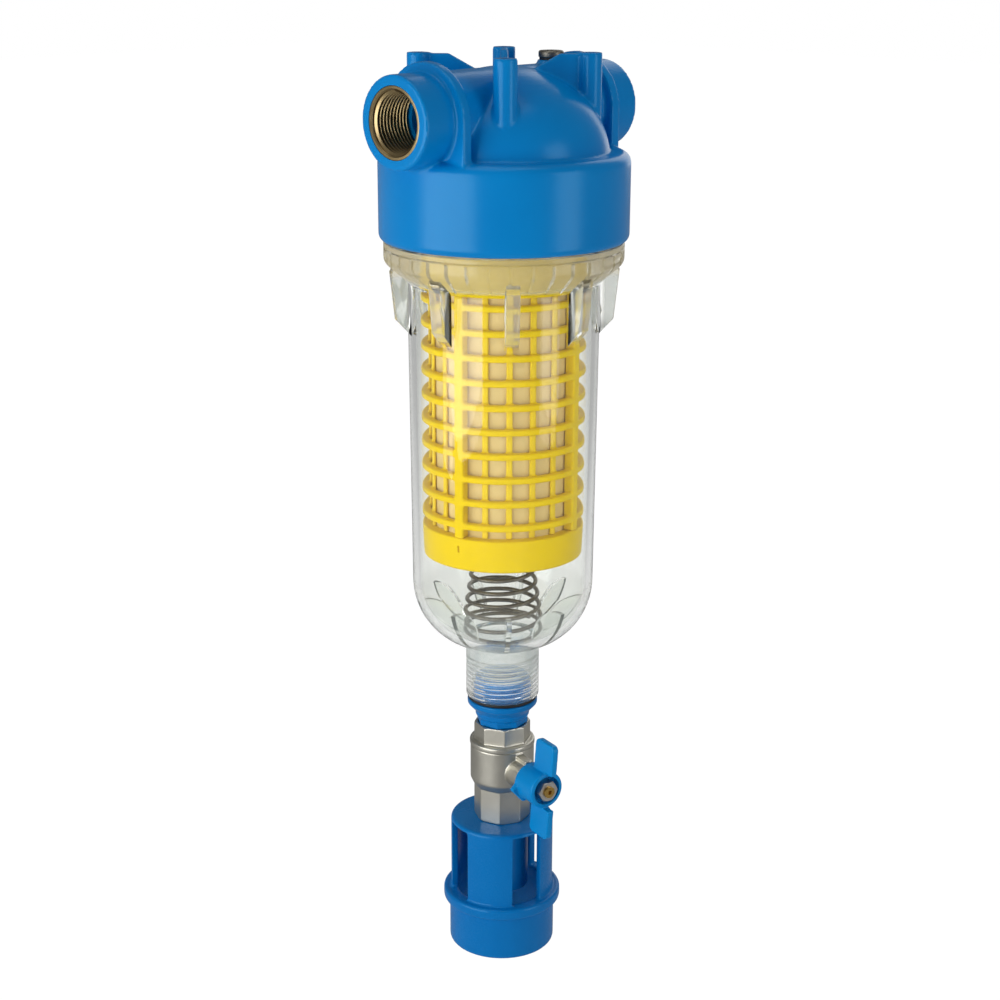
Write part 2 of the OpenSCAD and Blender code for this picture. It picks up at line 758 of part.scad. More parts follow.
// Valve body, with a stop for the handle on top of the stem boss
module valve_body() {
    stop_w = 4;
    stop_in = valve_body_r - 2;
    drain_side() color(nickel) difference() {
        union() {
            revolve([
                [0, body_foot], [valve_body_r - 1.6, body_foot], [valve_body_r, body_foot + 4],
                [valve_body_r, body_top - 0.6], [valve_body_r - 0.6, body_top - fit_gap],
                [0, body_top - fit_gap]
            ]);
            octagon(valve_foot, body_foot + cut, oct_foot_turn);
            translate([0, 0, ball_z]) rotate([90, 0, 0]) {
                cylinder(d = stem_boss_d, h = stem_boss_reach);
                translate([-stop_w / 2, stem_boss_d / 2 - stop_w / 4, stop_in])
                    cube([stop_w, 3 * stop_w / 4, stem_boss_reach - stop_in]);
            }
        }
        translate([0, 0, spigot_foot - fit_gap])
            cylinder(r = spigot_thread_r + fit_gap, h = valve_spigot_len + cut);
        translate([0, 0, lower_seat_top])
            cylinder(r = chamber_r, h = spigot_foot - lower_seat_top);
        translate([0, 0, lower_seat_foot - fit_gap])
            cylinder(r = chamber_r - 0.2, h = seat_h + 2 * fit_gap);
        translate([0, 0, valve_foot - cut]) cylinder(r = drain_r, h = ball_z - valve_foot);
        translate([0, 0, valve_foot - cut])
            cylinder(r = valve_thread_r, h = tundish_nipple_len + 0.4 + cut);
        translate([0, 0, ball_z]) rotate([90, 0, 0]) {
            cylinder(r = stem_bore_r, h = stem_boss_reach + cut);
            cylinder(r = stem_flange_r + slide_gap, h = stem_flange_in + stem_flange_t + slide_gap);
        }
    }
}

// Seat ring, with its face turned to the ball
module seat(foot) {
    difference() {
        tube(chamber_r - 0.2 - fit_gap, drain_r, foot, foot + seat_h);
        translate([0, 0, ball_z]) sphere(r = seat_r);
    }
}

module upper_seat() {
    drain_side() color(seat_white) seat(spigot_foot);
}

module lower_seat() {
    drain_side() color(seat_white) seat(lower_seat_foot);
}

module ball() {
    drain_side() color(nickel) translate([0, 0, ball_z]) difference() {
        rotate_extrude() difference() {
            circle(r = ball_r);
            translate([-ball_d, -ball_d]) square([ball_d + drain_r, 2 * ball_d]);
        }
        translate([0, -ball_r, 0]) cube([ball_d, 2 * tang_depth, tang_t + 2 * fit_gap], center = true);
    }
}

module stem() {
    tang_w = 2 * stem_r;
    tang_in = ball_r - tang_depth + fit_gap;
    groove_half_w = seal_section / 2 + fit_gap;
    centre_d = 2;
    centre_depth = 1.5;
    along_stem() color(bright_brass) difference() {
        union() {
            translate([-tang_w / 2, -tang_t / 2, tang_in])
                cube([tang_w, tang_t, stem_flange_in - tang_in + 0.5]);
            translate([0, 0, stem_flange_in]) cylinder(r = stem_flange_r, h = stem_flange_t);
            translate([0, 0, stem_flange_in]) cylinder(r = stem_r, h = nut_in - fit_gap - stem_flange_in);
            translate([0, 0, stem_flange_in]) cylinder(d = stem_end_d, h = stem_out - stem_flange_in);
        }
        for (place = seal_places)
            tube(stem_r + cut, seal_groove_r, place - groove_half_w, place + groove_half_w);
        translate([0, 0, stem_out - centre_depth]) cylinder(d = centre_d, h = centre_depth + cut);
    }
}

module stem_seals() {
    along_stem() color(seal_black)
        for (place = seal_places)
            ring(seal_groove_r + fit_gap + seal_section / 2 - 0.02, seal_section, place);
}

// Wing outline in the plane of the stem and the pipe, with round corners
module wing_outline() {
    c = wing_corner;
    half = wing_span / 2;
    polygon(concat(
        arc([wing_w - c, half - c], c, 0, 90, 6), arc([c, half - c], c, 90, 180, 6),
        arc([c, c - half], c, 180, 270, 6), arc([wing_w - c, c - half], c, 270, 360, 6)
    ));
}

// Wing handle: the wings stand out past the hub's face, so they are cut away in front of it
module handle() {
    hub_r = hub_d / 2;
    hub_wall = 1.9;
    stop_reach = hub_r + 2.6;
    stop_t = 3;
    along_stem() color(drain_blue) difference() {
        union() {
            translate([0, 0, handle_in]) cylinder(r = hub_r, h = hub_len);
            translate([0, 0, handle_out + wing_proud - wing_w]) rotate(-wing_lean) rotate([0, -90, 0])
                linear_extrude(wing_t, center = true) wing_outline();
            translate([0, 0, handle_in]) linear_extrude(stop_t)
                polygon([[0, hub_r], [-stop_reach, -hub_r / 4], [-stop_reach / 2, -hub_r], [0, -hub_r]]);
        }
        translate([0, 0, handle_in - cut]) cylinder(r = stem_r + fit_gap, h = hub_len);
        translate([0, 0, nut_in]) cylinder(r = hub_r - hub_wall, h = hub_recess + cut);
        translate([0, 0, handle_out]) cylinder(r = hub_r, h = wing_proud + cut);
    }
}

module handle_nut() {
    along_stem() color(nickel) difference() {
        translate([0, 0, nut_in + fit_gap]) cylinder(d = nut_af / cos(30), h = nut_h, $fn = 6);
        translate([0, 0, nut_in - cut]) cylinder(d = stem_end_d + 2 * fit_gap, h = nut_h + 3 * cut);
    }
}

// Tundish wall of round section, from the threaded nipple to the drain spigot
module tundish_shell() {
    edge = 1.2;
    stop_r = stop_d / 2;
    cage_in_r = cage_r - tundish_wall;
    roof = tundish_top - tundish_wall;
    revolve(concat(
        [[drain_r, tundish_top + tundish_nipple_len], [tundish_nipple_r, tundish_top + tundish_nipple_len],
         [tundish_nipple_r, tundish_top]],
        arc([cage_r - cage_round, tundish_top - cage_round], cage_round, 90, 0, 8),
        [[cage_r, cage_end], [stop_r - edge, cage_end]],
        arc([stop_r - edge, cage_end - edge], edge, 90, 0, 4),
        arc([stop_r - edge, stop_foot + edge], edge, 0, -90, 4),
        [[drain_out_r, stop_foot]],
        arc([drain_out_r - edge, drain_foot + edge], edge, 0, -90, 4),
        [[drain_in_r, drain_foot], [drain_in_r, stop_foot], [cage_in_r, cage_end], [cage_in_r, roof],
         [nozzle_r, roof], [nozzle_r, nozzle_foot], [nozzle_r - tundish_wall, nozzle_foot],
         [nozzle_r - tundish_wall, roof], [drain_r, roof]]
    ));
}

module tundish() {
    nozzle_clear = 0.6;
    window_in = nozzle_r + nozzle_clear;
    drain_side() color(drain_blue) difference() {
        tundish_shell();
        for (i = [0:window_count - 1]) rotate(i * 360 / window_count - 90 + window_turn)
            translate([window_in, -window_w / 2, cage_end]) cube([cage_r, window_w, cage_h - roof_lip]);
    }
}

module cartridge_cage() {
    ring_count = floor((cage_h_open - first_ring - ring_h) / ring_pitch) + 1;
    rib_in_r = fine_rib_in_r + fit_gap;
    hang() color(cage_yellow) rotate(cage_turn - 90) {
        for (i = [0:ring_count - 1])
            translate([0, 0, cage_foot + first_ring + i * ring_pitch]) tube(ring_r, ring_in_r, 0, ring_h);
        for (i = [0:rib_count - 1]) rotate(i * 360 / rib_count)
            translate([rib_in_r, -rib_w / 2, cage_foot + fit_gap])
                cube([ring_r - 0.2 - rib_in_r, rib_w, cage_h_open - 2 * fit_gap]);
        for (i = [0:fine_rib_count - 1]) rotate(i * 360 / fine_rib_count)
            translate([rib_in_r, -fine_rib_w / 2, cage_foot + fit_gap])
                cube([fine_rib_depth, fine_rib_w, cage_h_open - 2 * fit_gap]);
    }
}

module filter_screen() {
    hang() color(screen_white)
        tube(screen_r, screen_r - screen_t, cage_foot + fit_gap, cage_top - fit_gap);
}

// Core tube: a wall with rows of slots
module core_tube() {
    slot_rows = 6;
    slot_w = 14;
    slot_pitch = cage_h_open / slot_rows;
    hang() color(cage_yellow) difference() {
        tube(core_r, core_r - core_wall, cage_foot + fit_gap, cage_top - fit_gap);
        for (row = [0:slot_rows - 1], turn = [0:60:120]) rotate(turn)
            translate([-ring_d / 2, -slot_w / 2, cage_foot + (row + 0.15) * slot_pitch])
                cube([ring_d, slot_w, 0.7 * slot_pitch]);
    }
}

module top_cap() {
    groove_z = cap_top + spigot_len * 0.6;
    groove_r = spigot_r - spigot_seal_d;
    hang() color(cage_yellow) difference() {
        revolve([
            [spigot_bore_d / 2, cap_top + spigot_len], [spigot_r - 1, cap_top + spigot_len],
            [spigot_r, cap_top + spigot_len - 1], [spigot_r, cap_top], [ring_r - 1.5, cap_top],
            [ring_r, cap_top - 1.5], [ring_r, cage_top],
            [core_r - core_wall, cage_top], [core_r - core_wall, cap_top - cap_floor_t],
            [spigot_bore_d / 2, cap_top - cap_floor_t]
        ]);
        tube(spigot_r + cut, groove_r, groove_z - spigot_seal_d / 2 - fit_gap,
            groove_z + spigot_seal_d / 2 + fit_gap);
    }
}

module spigot_seal() {
    hang() color(seal_black)
        ring(spigot_r - spigot_seal_d / 2 + fit_gap, spigot_seal_d, cap_top + spigot_len * 0.6);
}

module bottom_cap() {
    hang() color(cage_yellow)
        revolve([
            [0, cart_foot + cap_floor_t], [core_r - core_wall, cart_foot + cap_floor_t],
            [core_r - core_wall, cage_foot], [ring_r, cage_foot], [ring_r - 0.6, cart_foot + 1],
            [ring_r - 1.6, cart_foot], [spring_boss_r, cart_foot],
            [spring_boss_r - 1, cart_foot - spring_boss_h], [0, cart_foot - spring_boss_h]
        ]);
}

head();
inlet_insert();
outlet_insert();
vent_plug();
vent_seal();
bowl_seal();
bowl();
drain_nipple();
nipple_seal();
spring();
valve_end();
valve_body();
upper_seat();
lower_seat();
tundish();
ball();
stem();
stem_seals();
handle();
handle_nut();
cartridge_cage();
filter_screen();
core_tube();
top_cap();
bottom_cap();
spigot_seal();
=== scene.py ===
# %% [markdown]
# # A self cleaning water filter
#
# The part is a blue moulded head with two brass ports, a clear bowl that screws into it, a yellow
# screen cartridge on a spring, and a drain valve over a windowed tundish. The solids of the
# construction are loaded first and never change. This lesson makes the pieces that are seen, one
# by one, each on the place of the solid that it stands for, and then the finishes and the studio.

# %% Load the frame
from math import acos, asin, atan2, cos, degrees, hypot, pi, radians, sin, tan

import bpy
from mathutils import Matrix, Vector


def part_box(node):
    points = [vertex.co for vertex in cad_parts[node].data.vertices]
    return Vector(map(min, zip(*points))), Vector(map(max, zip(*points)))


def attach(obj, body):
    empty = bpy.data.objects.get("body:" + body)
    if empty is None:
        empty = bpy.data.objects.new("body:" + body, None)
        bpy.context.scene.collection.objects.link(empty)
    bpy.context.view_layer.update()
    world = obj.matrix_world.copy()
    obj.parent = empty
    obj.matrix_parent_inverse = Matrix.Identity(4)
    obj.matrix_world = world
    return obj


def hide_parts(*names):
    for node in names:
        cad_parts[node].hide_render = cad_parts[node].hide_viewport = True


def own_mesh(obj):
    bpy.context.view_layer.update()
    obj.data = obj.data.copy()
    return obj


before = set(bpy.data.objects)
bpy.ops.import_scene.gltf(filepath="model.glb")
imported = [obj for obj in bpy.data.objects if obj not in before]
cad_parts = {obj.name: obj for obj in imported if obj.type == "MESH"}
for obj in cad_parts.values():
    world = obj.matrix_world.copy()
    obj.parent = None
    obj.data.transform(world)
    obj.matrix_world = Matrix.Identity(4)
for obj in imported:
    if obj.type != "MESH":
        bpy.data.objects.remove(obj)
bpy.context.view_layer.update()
MM = 0.001
inlet_low, inlet_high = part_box("inlet_insert")
PORT_Z = (inlet_low.z + inlet_high.z) / 2
PORT_X = -inlet_low.x / MM
print("nodes:", len(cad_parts), "port axis at", round(PORT_Z, 4))

# %% [markdown]
# ## Tools of the workshop
#
# Most pieces of a filter are turned or moulded round one axis. So the main tool is a lathe: an
# outline is pulled out of one vertex by extruding, and Spin turns it once round. Heights and
# radii are in millimetres from the port axis, because the construction is measured the same way.

# %% Selecting and tracing
ROUND_STEPS = 120


def fresh():
    """Leaves the scene in object mode with nothing selected."""
    if bpy.context.mode != "OBJECT":
        bpy.ops.object.mode_set(mode="OBJECT")
    bpy.ops.object.select_all(action="DESELECT")


def hold(piece):
    """Makes one piece the selected and active one."""
    fresh()
    bpy.context.view_layer.objects.active = piece
    piece.select_set(True)
    return piece


def open_all(piece):
    """Opens a piece in edit mode with all of it selected."""
    hold(piece)
    bpy.ops.object.mode_set(mode="EDIT")
    bpy.ops.mesh.select_all(action="SELECT")


def close():
    bpy.ops.object.mode_set(mode="OBJECT")


def trace(name, points, closed=False):
    """Pulls one vertex along a list of points in metres, as a chain of edges."""
    fresh()
    bpy.ops.mesh.primitive_plane_add(size=MM, location=points[0])
    chain = bpy.context.object
    chain.name = name
    bpy.ops.object.mode_set(mode="EDIT")
    bpy.ops.mesh.merge(type="CENTER")
    for here, there in zip(points, points[1:]):
        step = Vector(there) - Vector(here)
        bpy.ops.mesh.extrude_region_move(TRANSFORM_OT_translate={"value": step})
    if closed:
        bpy.ops.mesh.select_all(action="SELECT")
        bpy.ops.mesh.edge_face_add()
    close()
    bpy.ops.object.transform_apply(location=True, rotation=False, scale=False)
    return chain


# %% Rounding the corners of an outline
def rounded(outline, steps=4):
    """Replaces each corner that names a radius, as (x, y, radius), by an arc."""
    points = []
    for i, corner in enumerate(outline):
        here = Vector(corner[:2])
        if len(corner) < 3:
            points.append(here)
            continue
        back = Vector(outline[i - 1][:2]) - here
        ahead = Vector(outline[(i + 1) % len(outline)][:2]) - here
        half = back.angle(ahead) / 2
        reach = min(corner[2] / tan(half), 0.49 * back.length, 0.49 * ahead.length)
        start = here + back.normalized() * reach
        middle = here + (back.normalized() + ahead.normalized()).normalized() * reach / cos(half)
        radius = (start - middle).length
        first = atan2(start.y - middle.y, start.x - middle.x)
        end = here + ahead.normalized() * reach
        turn = atan2(end.y - middle.y, end.x - middle.x) - first
        turn = (turn + pi) % (2 * pi) - pi
        for k in range(steps + 1):
            angle = first + turn * k / steps
            points.append(middle + radius * Vector((cos(angle), sin(angle))))
    return points


def arc(middle, radius, first, last, steps=16):
    """Points of an arc from one angle to another, in degrees."""
    turns = [radians(first + (last - first) * k / steps) for k in range(steps + 1)]
    return [(middle[0] + radius * cos(t), middle[1] + radius * sin(t)) for t in turns]


# %% The lathe, the slab and the block
def mend(piece, distance=1e-6):
    """Merges doubles and turns every face outwards."""
    open_all(piece)
    bpy.ops.mesh.remove_doubles(threshold=distance)
    bpy.ops.mesh.normals_make_consistent(inside=False)
    close()
    return piece


def lathe(name, outline, steps=ROUND_STEPS, base=PORT_Z):
    """Turns a closed outline of (radius, height) in millimetres round the bowl axis."""
    points = [(r * MM, 0, base + h * MM) for r, h in outline]
    on_axis = abs(points[0][0]) < 1e-9 and abs(points[-1][0]) < 1e-9
    piece = trace(name, points if on_axis else points + points[:1])
    open_all(piece)
    bpy.ops.mesh.remove_doubles(threshold=1e-7)
    bpy.ops.mesh.spin(steps=steps, angle=2 * pi, center=(0, 0, 0), axis=(0, 0, 1))
    close()
    return mend(piece)


def slab(name, outline, thickness):
    """A plate of that outline in millimetres, in the XY plane and centred on it."""
    points = [(x * MM, y * MM, -thickness / 2 * MM) for x, y in outline]
    piece = trace(name, points, closed=True)
    open_all(piece)
    bpy.ops.mesh.extrude_region_move(TRANSFORM_OT_translate={"value": (0, 0, thickness * MM)})
    close()
    return mend(piece)


def block(name, low, high, edge=0.0):
    """A block between two corners in millimetres from the port axis, with bevelled edges."""
    fresh()
    size = [(b - a) * MM for a, b in zip(low, high)]
    middle = [(a + b) / 2 * MM for a, b in zip(low, high)]
    middle[2] += PORT_Z
    bpy.ops.mesh.primitive_cube_add(size=1, location=middle, scale=size)
    piece = bpy.context.object
    piece.name = name
    bpy.ops.object.transform_apply(location=True, rotation=True, scale=True)
    if edge:
        open_all(piece)
        bpy.ops.mesh.bevel(offset=edge * MM, segments=3, affect="EDGES")
        close()
    return piece


# %% Placing, joining, carving and moulding
def place(piece, turn=(0, 0, 0), at=(0, 0, 0)):
    """Turns a piece by degrees about the frame's axes, moves it, and keeps that in its mesh."""
    hold(piece)
    piece.rotation_euler = [radians(a) for a in turn]
    piece.location = at
    bpy.ops.object.transform_apply(location=True, rotation=True, scale=True)
    return piece


def copies(piece, count, first=0.0, pitch=None):
    """Copies a piece round the bowl axis, each with its own mesh, and joins the ring."""
    pitch = 360 / count if pitch is None else pitch
    ring = []
    for i in range(count):
        hold(piece)
        bpy.ops.object.duplicate()
        ring.append(place(bpy.context.object, turn=(0, 0, first + i * pitch)))
    bpy.data.objects.remove(piece)
    return join(ring)


def join(pieces):
    """Makes several pieces one mesh, under the first one's name."""
    hold(pieces[0])
    for piece in pieces[1:]:
        piece.select_set(True)
    bpy.ops.object.join()
    return bpy.context.object


def apply(piece, kind, **settings):
    """Adds a modifier with its settings and applies it."""
    hold(piece)
    modifier = piece.modifiers.new(kind.lower(), kind)
    for key, value in settings.items():
        setattr(modifier, key, value)
    bpy.ops.object.modifier_apply(modifier=modifier.name)
    return piece


def carve(piece, tool, operation="DIFFERENCE"):
    """Cuts a tool out of a piece, or adds it, and throws the tool away."""
    apply(piece, "BOOLEAN", operation=operation, object=tool, solver="MANIFOLD")
    bpy.data.objects.remove(tool)
    return piece


def mould(piece, voxel, passes, factor=0.5):
    """Melts overlapping shells into one skin with moulded edges."""
    apply(piece, "REMESH", mode="VOXEL", voxel_size=voxel * MM, adaptivity=0)
    return apply(piece, "SMOOTH", factor=factor, iterations=passes)


def smooth(piece, angle=32):
    """Smooth shading that keeps edges sharper than the angle."""
    hold(piece)
    bpy.ops.object.shade_smooth_by_angle(angle=radians(angle))
    return piece


# %% [markdown]
# ## Writing finishes as sums
#
# A finish is a small graph of shader nodes. Wiring each Math node by hand hides the idea, so a
# socket is wrapped in a class with operators: `1 - mask` adds its node by itself. Every other
# node comes from one method. All patterns read Object coordinates, so they stay on the piece.

# %% Shader expressions
class Wire:
    """One output socket that can be used in arithmetic."""

    def __init__(self, finish, socket):
        self.finish = finish
        self.socket = socket

    def math(self, operation, left, right):
        return self.finish.add("ShaderNodeMath", {"operation": operation}, {0: left, 1: right})

    def __add__(self, other):
        return self.math("ADD", self, other)

    def __sub__(self, other):
        return self.math("SUBTRACT", self, other)

    def __rsub__(self, other):
        return self.math("SUBTRACT", other, self)

    def __mul__(self, other):
        return self.math("MULTIPLY", self, other)

    __radd__ = __add__
    __rmul__ = __mul__


class Finish:
    """A material, or a world, that is written node by node."""

    def __init__(self, name, owner=None, place="Object"):
        self.owner = owner or bpy.data.materials.new(name)
        self.owner.use_nodes = True
        self.tree = self.owner.node_tree
        self.tree.nodes.clear()
        self.place = self.add("ShaderNodeTexCoord", output=place)

    def add(self, kind, settings=None, inputs=None, output=0):
        """Adds a node: its settings first, then the values or links of its sockets."""
        node = self.tree.nodes.new(kind)
        for key, value in (settings or {}).items():
            setattr(node, key, value)
        for key, value in (inputs or {}).items():
            if isinstance(value, Wire):
                self.tree.links.new(value.socket, node.inputs[key])
            else:
                node.inputs[key].default_value = value
        return Wire(self, node.outputs[output]) if node.outputs else None

    def noise(self, scale, detail):
        """Cloudy grey from 0 to 1, with that many clouds to a metre."""
        inputs = {"Vector": self.place, "Scale": scale, "Detail": detail}
        return self.add("ShaderNodeTexNoise", None, inputs)

    def axis(self, name):
        """One coordinate of the place, in metres."""
        return self.add("ShaderNodeSeparateXYZ", None, {"Vector": self.place}, name)

    def radius(self):
        """The distance of the place from the bowl axis, in metres."""
        flat = self.add("ShaderNodeVectorMath", {"operation": "MULTIPLY"}, {0: self.place, 1: (1, 1, 0)})
        return self.add("ShaderNodeVectorMath", {"operation": "LENGTH"}, {0: flat}, "Value")

    def off_line(self, direction):
        """How far the place lies to either side of the camera's line."""
        sideways = {0: self.place, 1: tuple(direction)}
        along = self.add("ShaderNodeVectorMath", {"operation": "DOT_PRODUCT"}, sideways, "Value")
        return self.add("ShaderNodeMath", {"operation": "ABSOLUTE"}, {0: along})

    def band(self, value, low, high):
        """0 below low, 1 above high, and a soft step between."""
        limits = {"Value": value, "From Min": low, "From Max": high}
        return self.add("ShaderNodeMapRange", {"interpolation_type": "SMOOTHSTEP"}, limits)

    def blend(self, share, first, second):
        """Mixes two colours, or the colours on two wires."""
        settings = {"data_type": "RGBA"}
        colours = {6: first, 7: second, 0: share}
        return self.add("ShaderNodeMix", settings, colours, 2)

    def bump(self, height, distance):
        """A normal from a height, with the distance in millimetres."""
        inputs = {"Height": height, "Distance": distance * MM, "Strength": 1.0}
        return self.add("ShaderNodeBump", None, inputs)

    def surface(self, shader):
        """Ends the graph."""
        self.add("ShaderNodeOutputMaterial", None, {"Surface": shader})
        return self.owner

    def principled(self, **sockets):
        """A Principled shader, with socket names written with underscores."""
        inputs = {key.replace("_", " "): value for key, value in sockets.items()}
        return self.add("ShaderNodeBsdfPrincipled", None, inputs)


def colour(red, green, blue):
    """A colour from its display values, 0 to 255, in the linear light that shaders use."""
    def linear(level):
        level /= 255
        return level / 12.92 if level <= 0.04045 else ((level + 0.055) / 1.055) ** 2.4

    return (linear(red), linear(green), linear(blue), 1)


# %% [markdown]
# ## Finishes
#
# The head and the drain pieces are the same glossy blue plastic with a faint moulded grain. The
# bowl is a clear one that bends light, and shadow rays pass it so that lamps reach the cartridge.
# The valve is cast and nickel plated, so its skin is grainy.

# %% Plastics
def blue_plastic(name, deep, bright, gloss):
    """Glossy moulded plastic: slow clouds in the colour, fine grain in the skin."""
    f = Finish(name)
    clouds = f.noise(28, 2)
    grain = f.noise(2600, 2)
    tint = f.blend(clouds, deep, bright)
    skin = f.bump(grain, 0.012)
    shader = f.principled(Base_Color=tint, Roughness=gloss + 0.06 * clouds + 0.04 * grain, Normal=skin,
                          IOR=1.5, Specular_IOR_Level=0.38, Specular_Tint=(0.45, 0.85, 1, 1))
    return f.surface(shader)


BEHIND_RINGS = (33.1, 33.7)


def yellow_plastic():
    """Satin yellow moulding; the fine ribs behind the rings are painted paler, as painted light that lifts the
    shade between the rings.
    """
    f = Finish("cage_yellow")
    clouds = f.noise(45, 3)
    grain = f.noise(1800, 2)
    behind = 1 - f.band(f.radius(), BEHIND_RINGS[0] * MM, BEHIND_RINGS[1] * MM)
    tint = f.blend(clouds, colour(232, 196, 0), colour(240, 208, 0))
    # Painted light: a paler yellow on the ribs behind the rings lifts the shade that falls between the rings.
    tint = f.blend(0.3 * behind, tint, colour(236, 212, 90))
    shader = f.principled(Base_Color=tint, Roughness=0.4 + 0.1 * clouds, Normal=f.bump(grain, 0.02), IOR=1.5,
                          Specular_IOR_Level=0.2, Specular_Tint=(1, 0.9, 0.2, 1))
    return f.surface(shader)


WALL_TOP = -72
NECK_TOP = -241.05
NECK_FOOT = -267.25
FOOT_HAZE_TOP = -208
LUG_HAZE = (43, 44.5)


def clear_plastic():
    """Clear plastic that bends light; the neck, the foot, the collar and the lugs are hazy."""
    f = Finish("clear_plastic")
    height = f.axis("Z")
    neck = 1 - f.band(height, PORT_Z + (NECK_TOP - 3) * MM, PORT_Z + (NECK_TOP + 1) * MM)
    collar = f.band(height, PORT_Z + (WALL_TOP + 2) * MM, PORT_Z + (WALL_TOP + 5) * MM)
    lugs = f.band(f.radius(), LUG_HAZE[0] * MM, LUG_HAZE[1] * MM) * (1 - collar)
    upper_neck = neck * f.band(height, PORT_Z + (NECK_FOOT + 5) * MM, PORT_Z + (NECK_TOP - 6) * MM)
    foot = 1 - f.band(height, PORT_Z + (FOOT_HAZE_TOP - 10) * MM, PORT_Z + FOOT_HAZE_TOP * MM)
    clouds = f.noise(90, 2)
    tint = f.blend(clouds, colour(247, 250, 247), colour(252, 252, 250))
    clear = f.principled(Base_Color=tint, Roughness=0.015 + 0.01 * clouds + 0.05 * neck + 0.1 * collar,
                         IOR=1.42, Specular_IOR_Level=0.2, Transmission_Weight=1.0)
    pale = f.blend(foot + lugs, colour(216, 202, 160), colour(206, 212, 210))
    milky = f.principled(Base_Color=pale, Roughness=0.5, Specular_IOR_Level=0.3)
    haze = 0.1 * foot - 0.07 * neck + 0.3 * upper_neck + 0.34 * collar + 0.34 * lugs
    hazy = f.add("ShaderNodeMixShader", None, {0: haze, 1: clear, 2: milky})
    lamp = f.add("ShaderNodeLightPath", output="Is Shadow Ray")
    open_way = f.add("ShaderNodeBsdfTransparent", None, {"Color": colour(240, 243, 240)})
    return f.surface(f.add("ShaderNodeMixShader", None, {0: lamp, 1: hazy, 2: open_way}))


WEAVE_PITCH = 0.5
THREADS_AROUND = 420


def screen_cloth():
    """Woven screen: two crossed sets of threads on a pale pinkish ground."""
    f = Finish("screen_cloth")
    angle = f.add("ShaderNodeMath", {"operation": "ARCTAN2"}, {0: f.axis("Y"), 1: f.axis("X")})
    around = f.add("ShaderNodeMath", {"operation": "SINE"}, {0: angle * THREADS_AROUND})
    along = f.add("ShaderNodeMath", {"operation": "SINE"}, {0: f.axis("Z") * (2 * pi / (WEAVE_PITCH * MM))})
    weave = 0.5 + 0.25 * around + 0.25 * along
    clouds = f.noise(60, 3)
    ground = f.blend(clouds, colour(217, 189, 124), colour(225, 199, 136))
    tint = f.blend(weave * 0.6, ground, colour(231, 210, 152))
    shader = f.principled(Base_Color=tint, Roughness=0.62 + 0.1 * clouds, Normal=f.bump(weave, 0.06))
    return f.surface(shader)


# %% Metals, rubber and seats
def cast_nickel():
    """Satin nickel over a sand-blasted casting; above the port axis, on the plug of the head, it is darker."""
    f = Finish("cast_nickel")
    grain = f.noise(1500, 4)
    clouds = f.noise(120, 3)
    plug = f.band(f.axis("Z"), PORT_Z - 20 * MM, PORT_Z)
    tint = f.blend(clouds, colour(204, 201, 189), colour(226, 223, 211))
    tint = f.blend(plug, tint, colour(136, 132, 122))
    shader = f.principled(Base_Color=tint, Metallic=1.0, Roughness=0.34 + 0.12 * clouds,
                          Normal=f.bump(grain, 0.05))
    return f.surface(shader)


def turned_metal(name, deep, bright, rough, pitch, along):
    """Machined metal: fine tool marks along one axis, and slow stains."""
    f = Finish(name)
    marks = f.add("ShaderNodeMath", {"operation": "SINE"}, {0: f.axis(along) * (2 * pi / (pitch * MM))})
    clouds = f.noise(150, 3)
    tint = f.blend(clouds, deep, bright)
    shader = f.principled(Base_Color=tint, Metallic=1.0, Roughness=rough + 0.1 * clouds,
                          Normal=f.bump(marks, 0.004))
    return f.surface(shader)


def spring_wire():
    """Drawn steel wire, dark and slightly streaky."""
    f = Finish("spring_wire")
    streaks = f.noise(700, 3)
    tint = f.blend(streaks, colour(74, 70, 64), colour(128, 122, 112))
    shader = f.principled(Base_Color=tint, Metallic=1.0, Roughness=0.3 + 0.14 * streaks,
                          Normal=f.bump(streaks, 0.01))
    return f.surface(shader)


def soft_black():
    """Moulded sealing rubber."""
    f = Finish("seal_rubber")
    grain = f.noise(1400, 3)
    tint = f.blend(grain, colour(18, 18, 19), colour(40, 40, 42))
    shader = f.principled(Base_Color=tint, Roughness=0.45 + 0.2 * grain, Normal=f.bump(grain, 0.02))
    return f.surface(shader)


def seat_white():
    """Slippery white seat plastic."""
    f = Finish("seat_white")
    grain = f.noise(900, 3)
    tint = f.blend(grain, colour(226, 226, 220), colour(240, 240, 236))
    shader = f.principled(Base_Color=tint, Roughness=0.4 + 0.1 * grain, Normal=f.bump(grain, 0.01))
    return f.surface(shader)


# %% Make the finishes
HEAD_BLUE = blue_plastic("head_blue", colour(0, 126, 200), colour(0, 136, 211), 0.2)
DRAIN_BLUE = blue_plastic("drain_blue", colour(0, 110, 184), colour(0, 120, 196), 0.22)
HANDLE_BLUE = blue_plastic("handle_blue", colour(0, 132, 204), colour(0, 142, 216), 0.2)
YELLOW = yellow_plastic()
CLEAR = clear_plastic()
SCREEN = screen_cloth()
NICKEL = cast_nickel()
CHROME = turned_metal("ball_chrome", colour(196, 196, 198), colour(214, 214, 216), 0.08, 0.3, "Z")
BRASS = turned_metal("port_brass", colour(160, 140, 100), colour(190, 168, 124), 0.26, 0.35, "X")
STEM_BRASS = turned_metal("stem_brass", colour(190, 150, 78), colour(214, 178, 104), 0.22, 0.3, "Z")
NUT_STEEL = turned_metal("nut_steel", colour(196, 194, 190), colour(222, 220, 216), 0.26, 0.3, "Z")
WIRE_STEEL = spring_wire()
RUBBER = soft_black()
SEAT = seat_white()
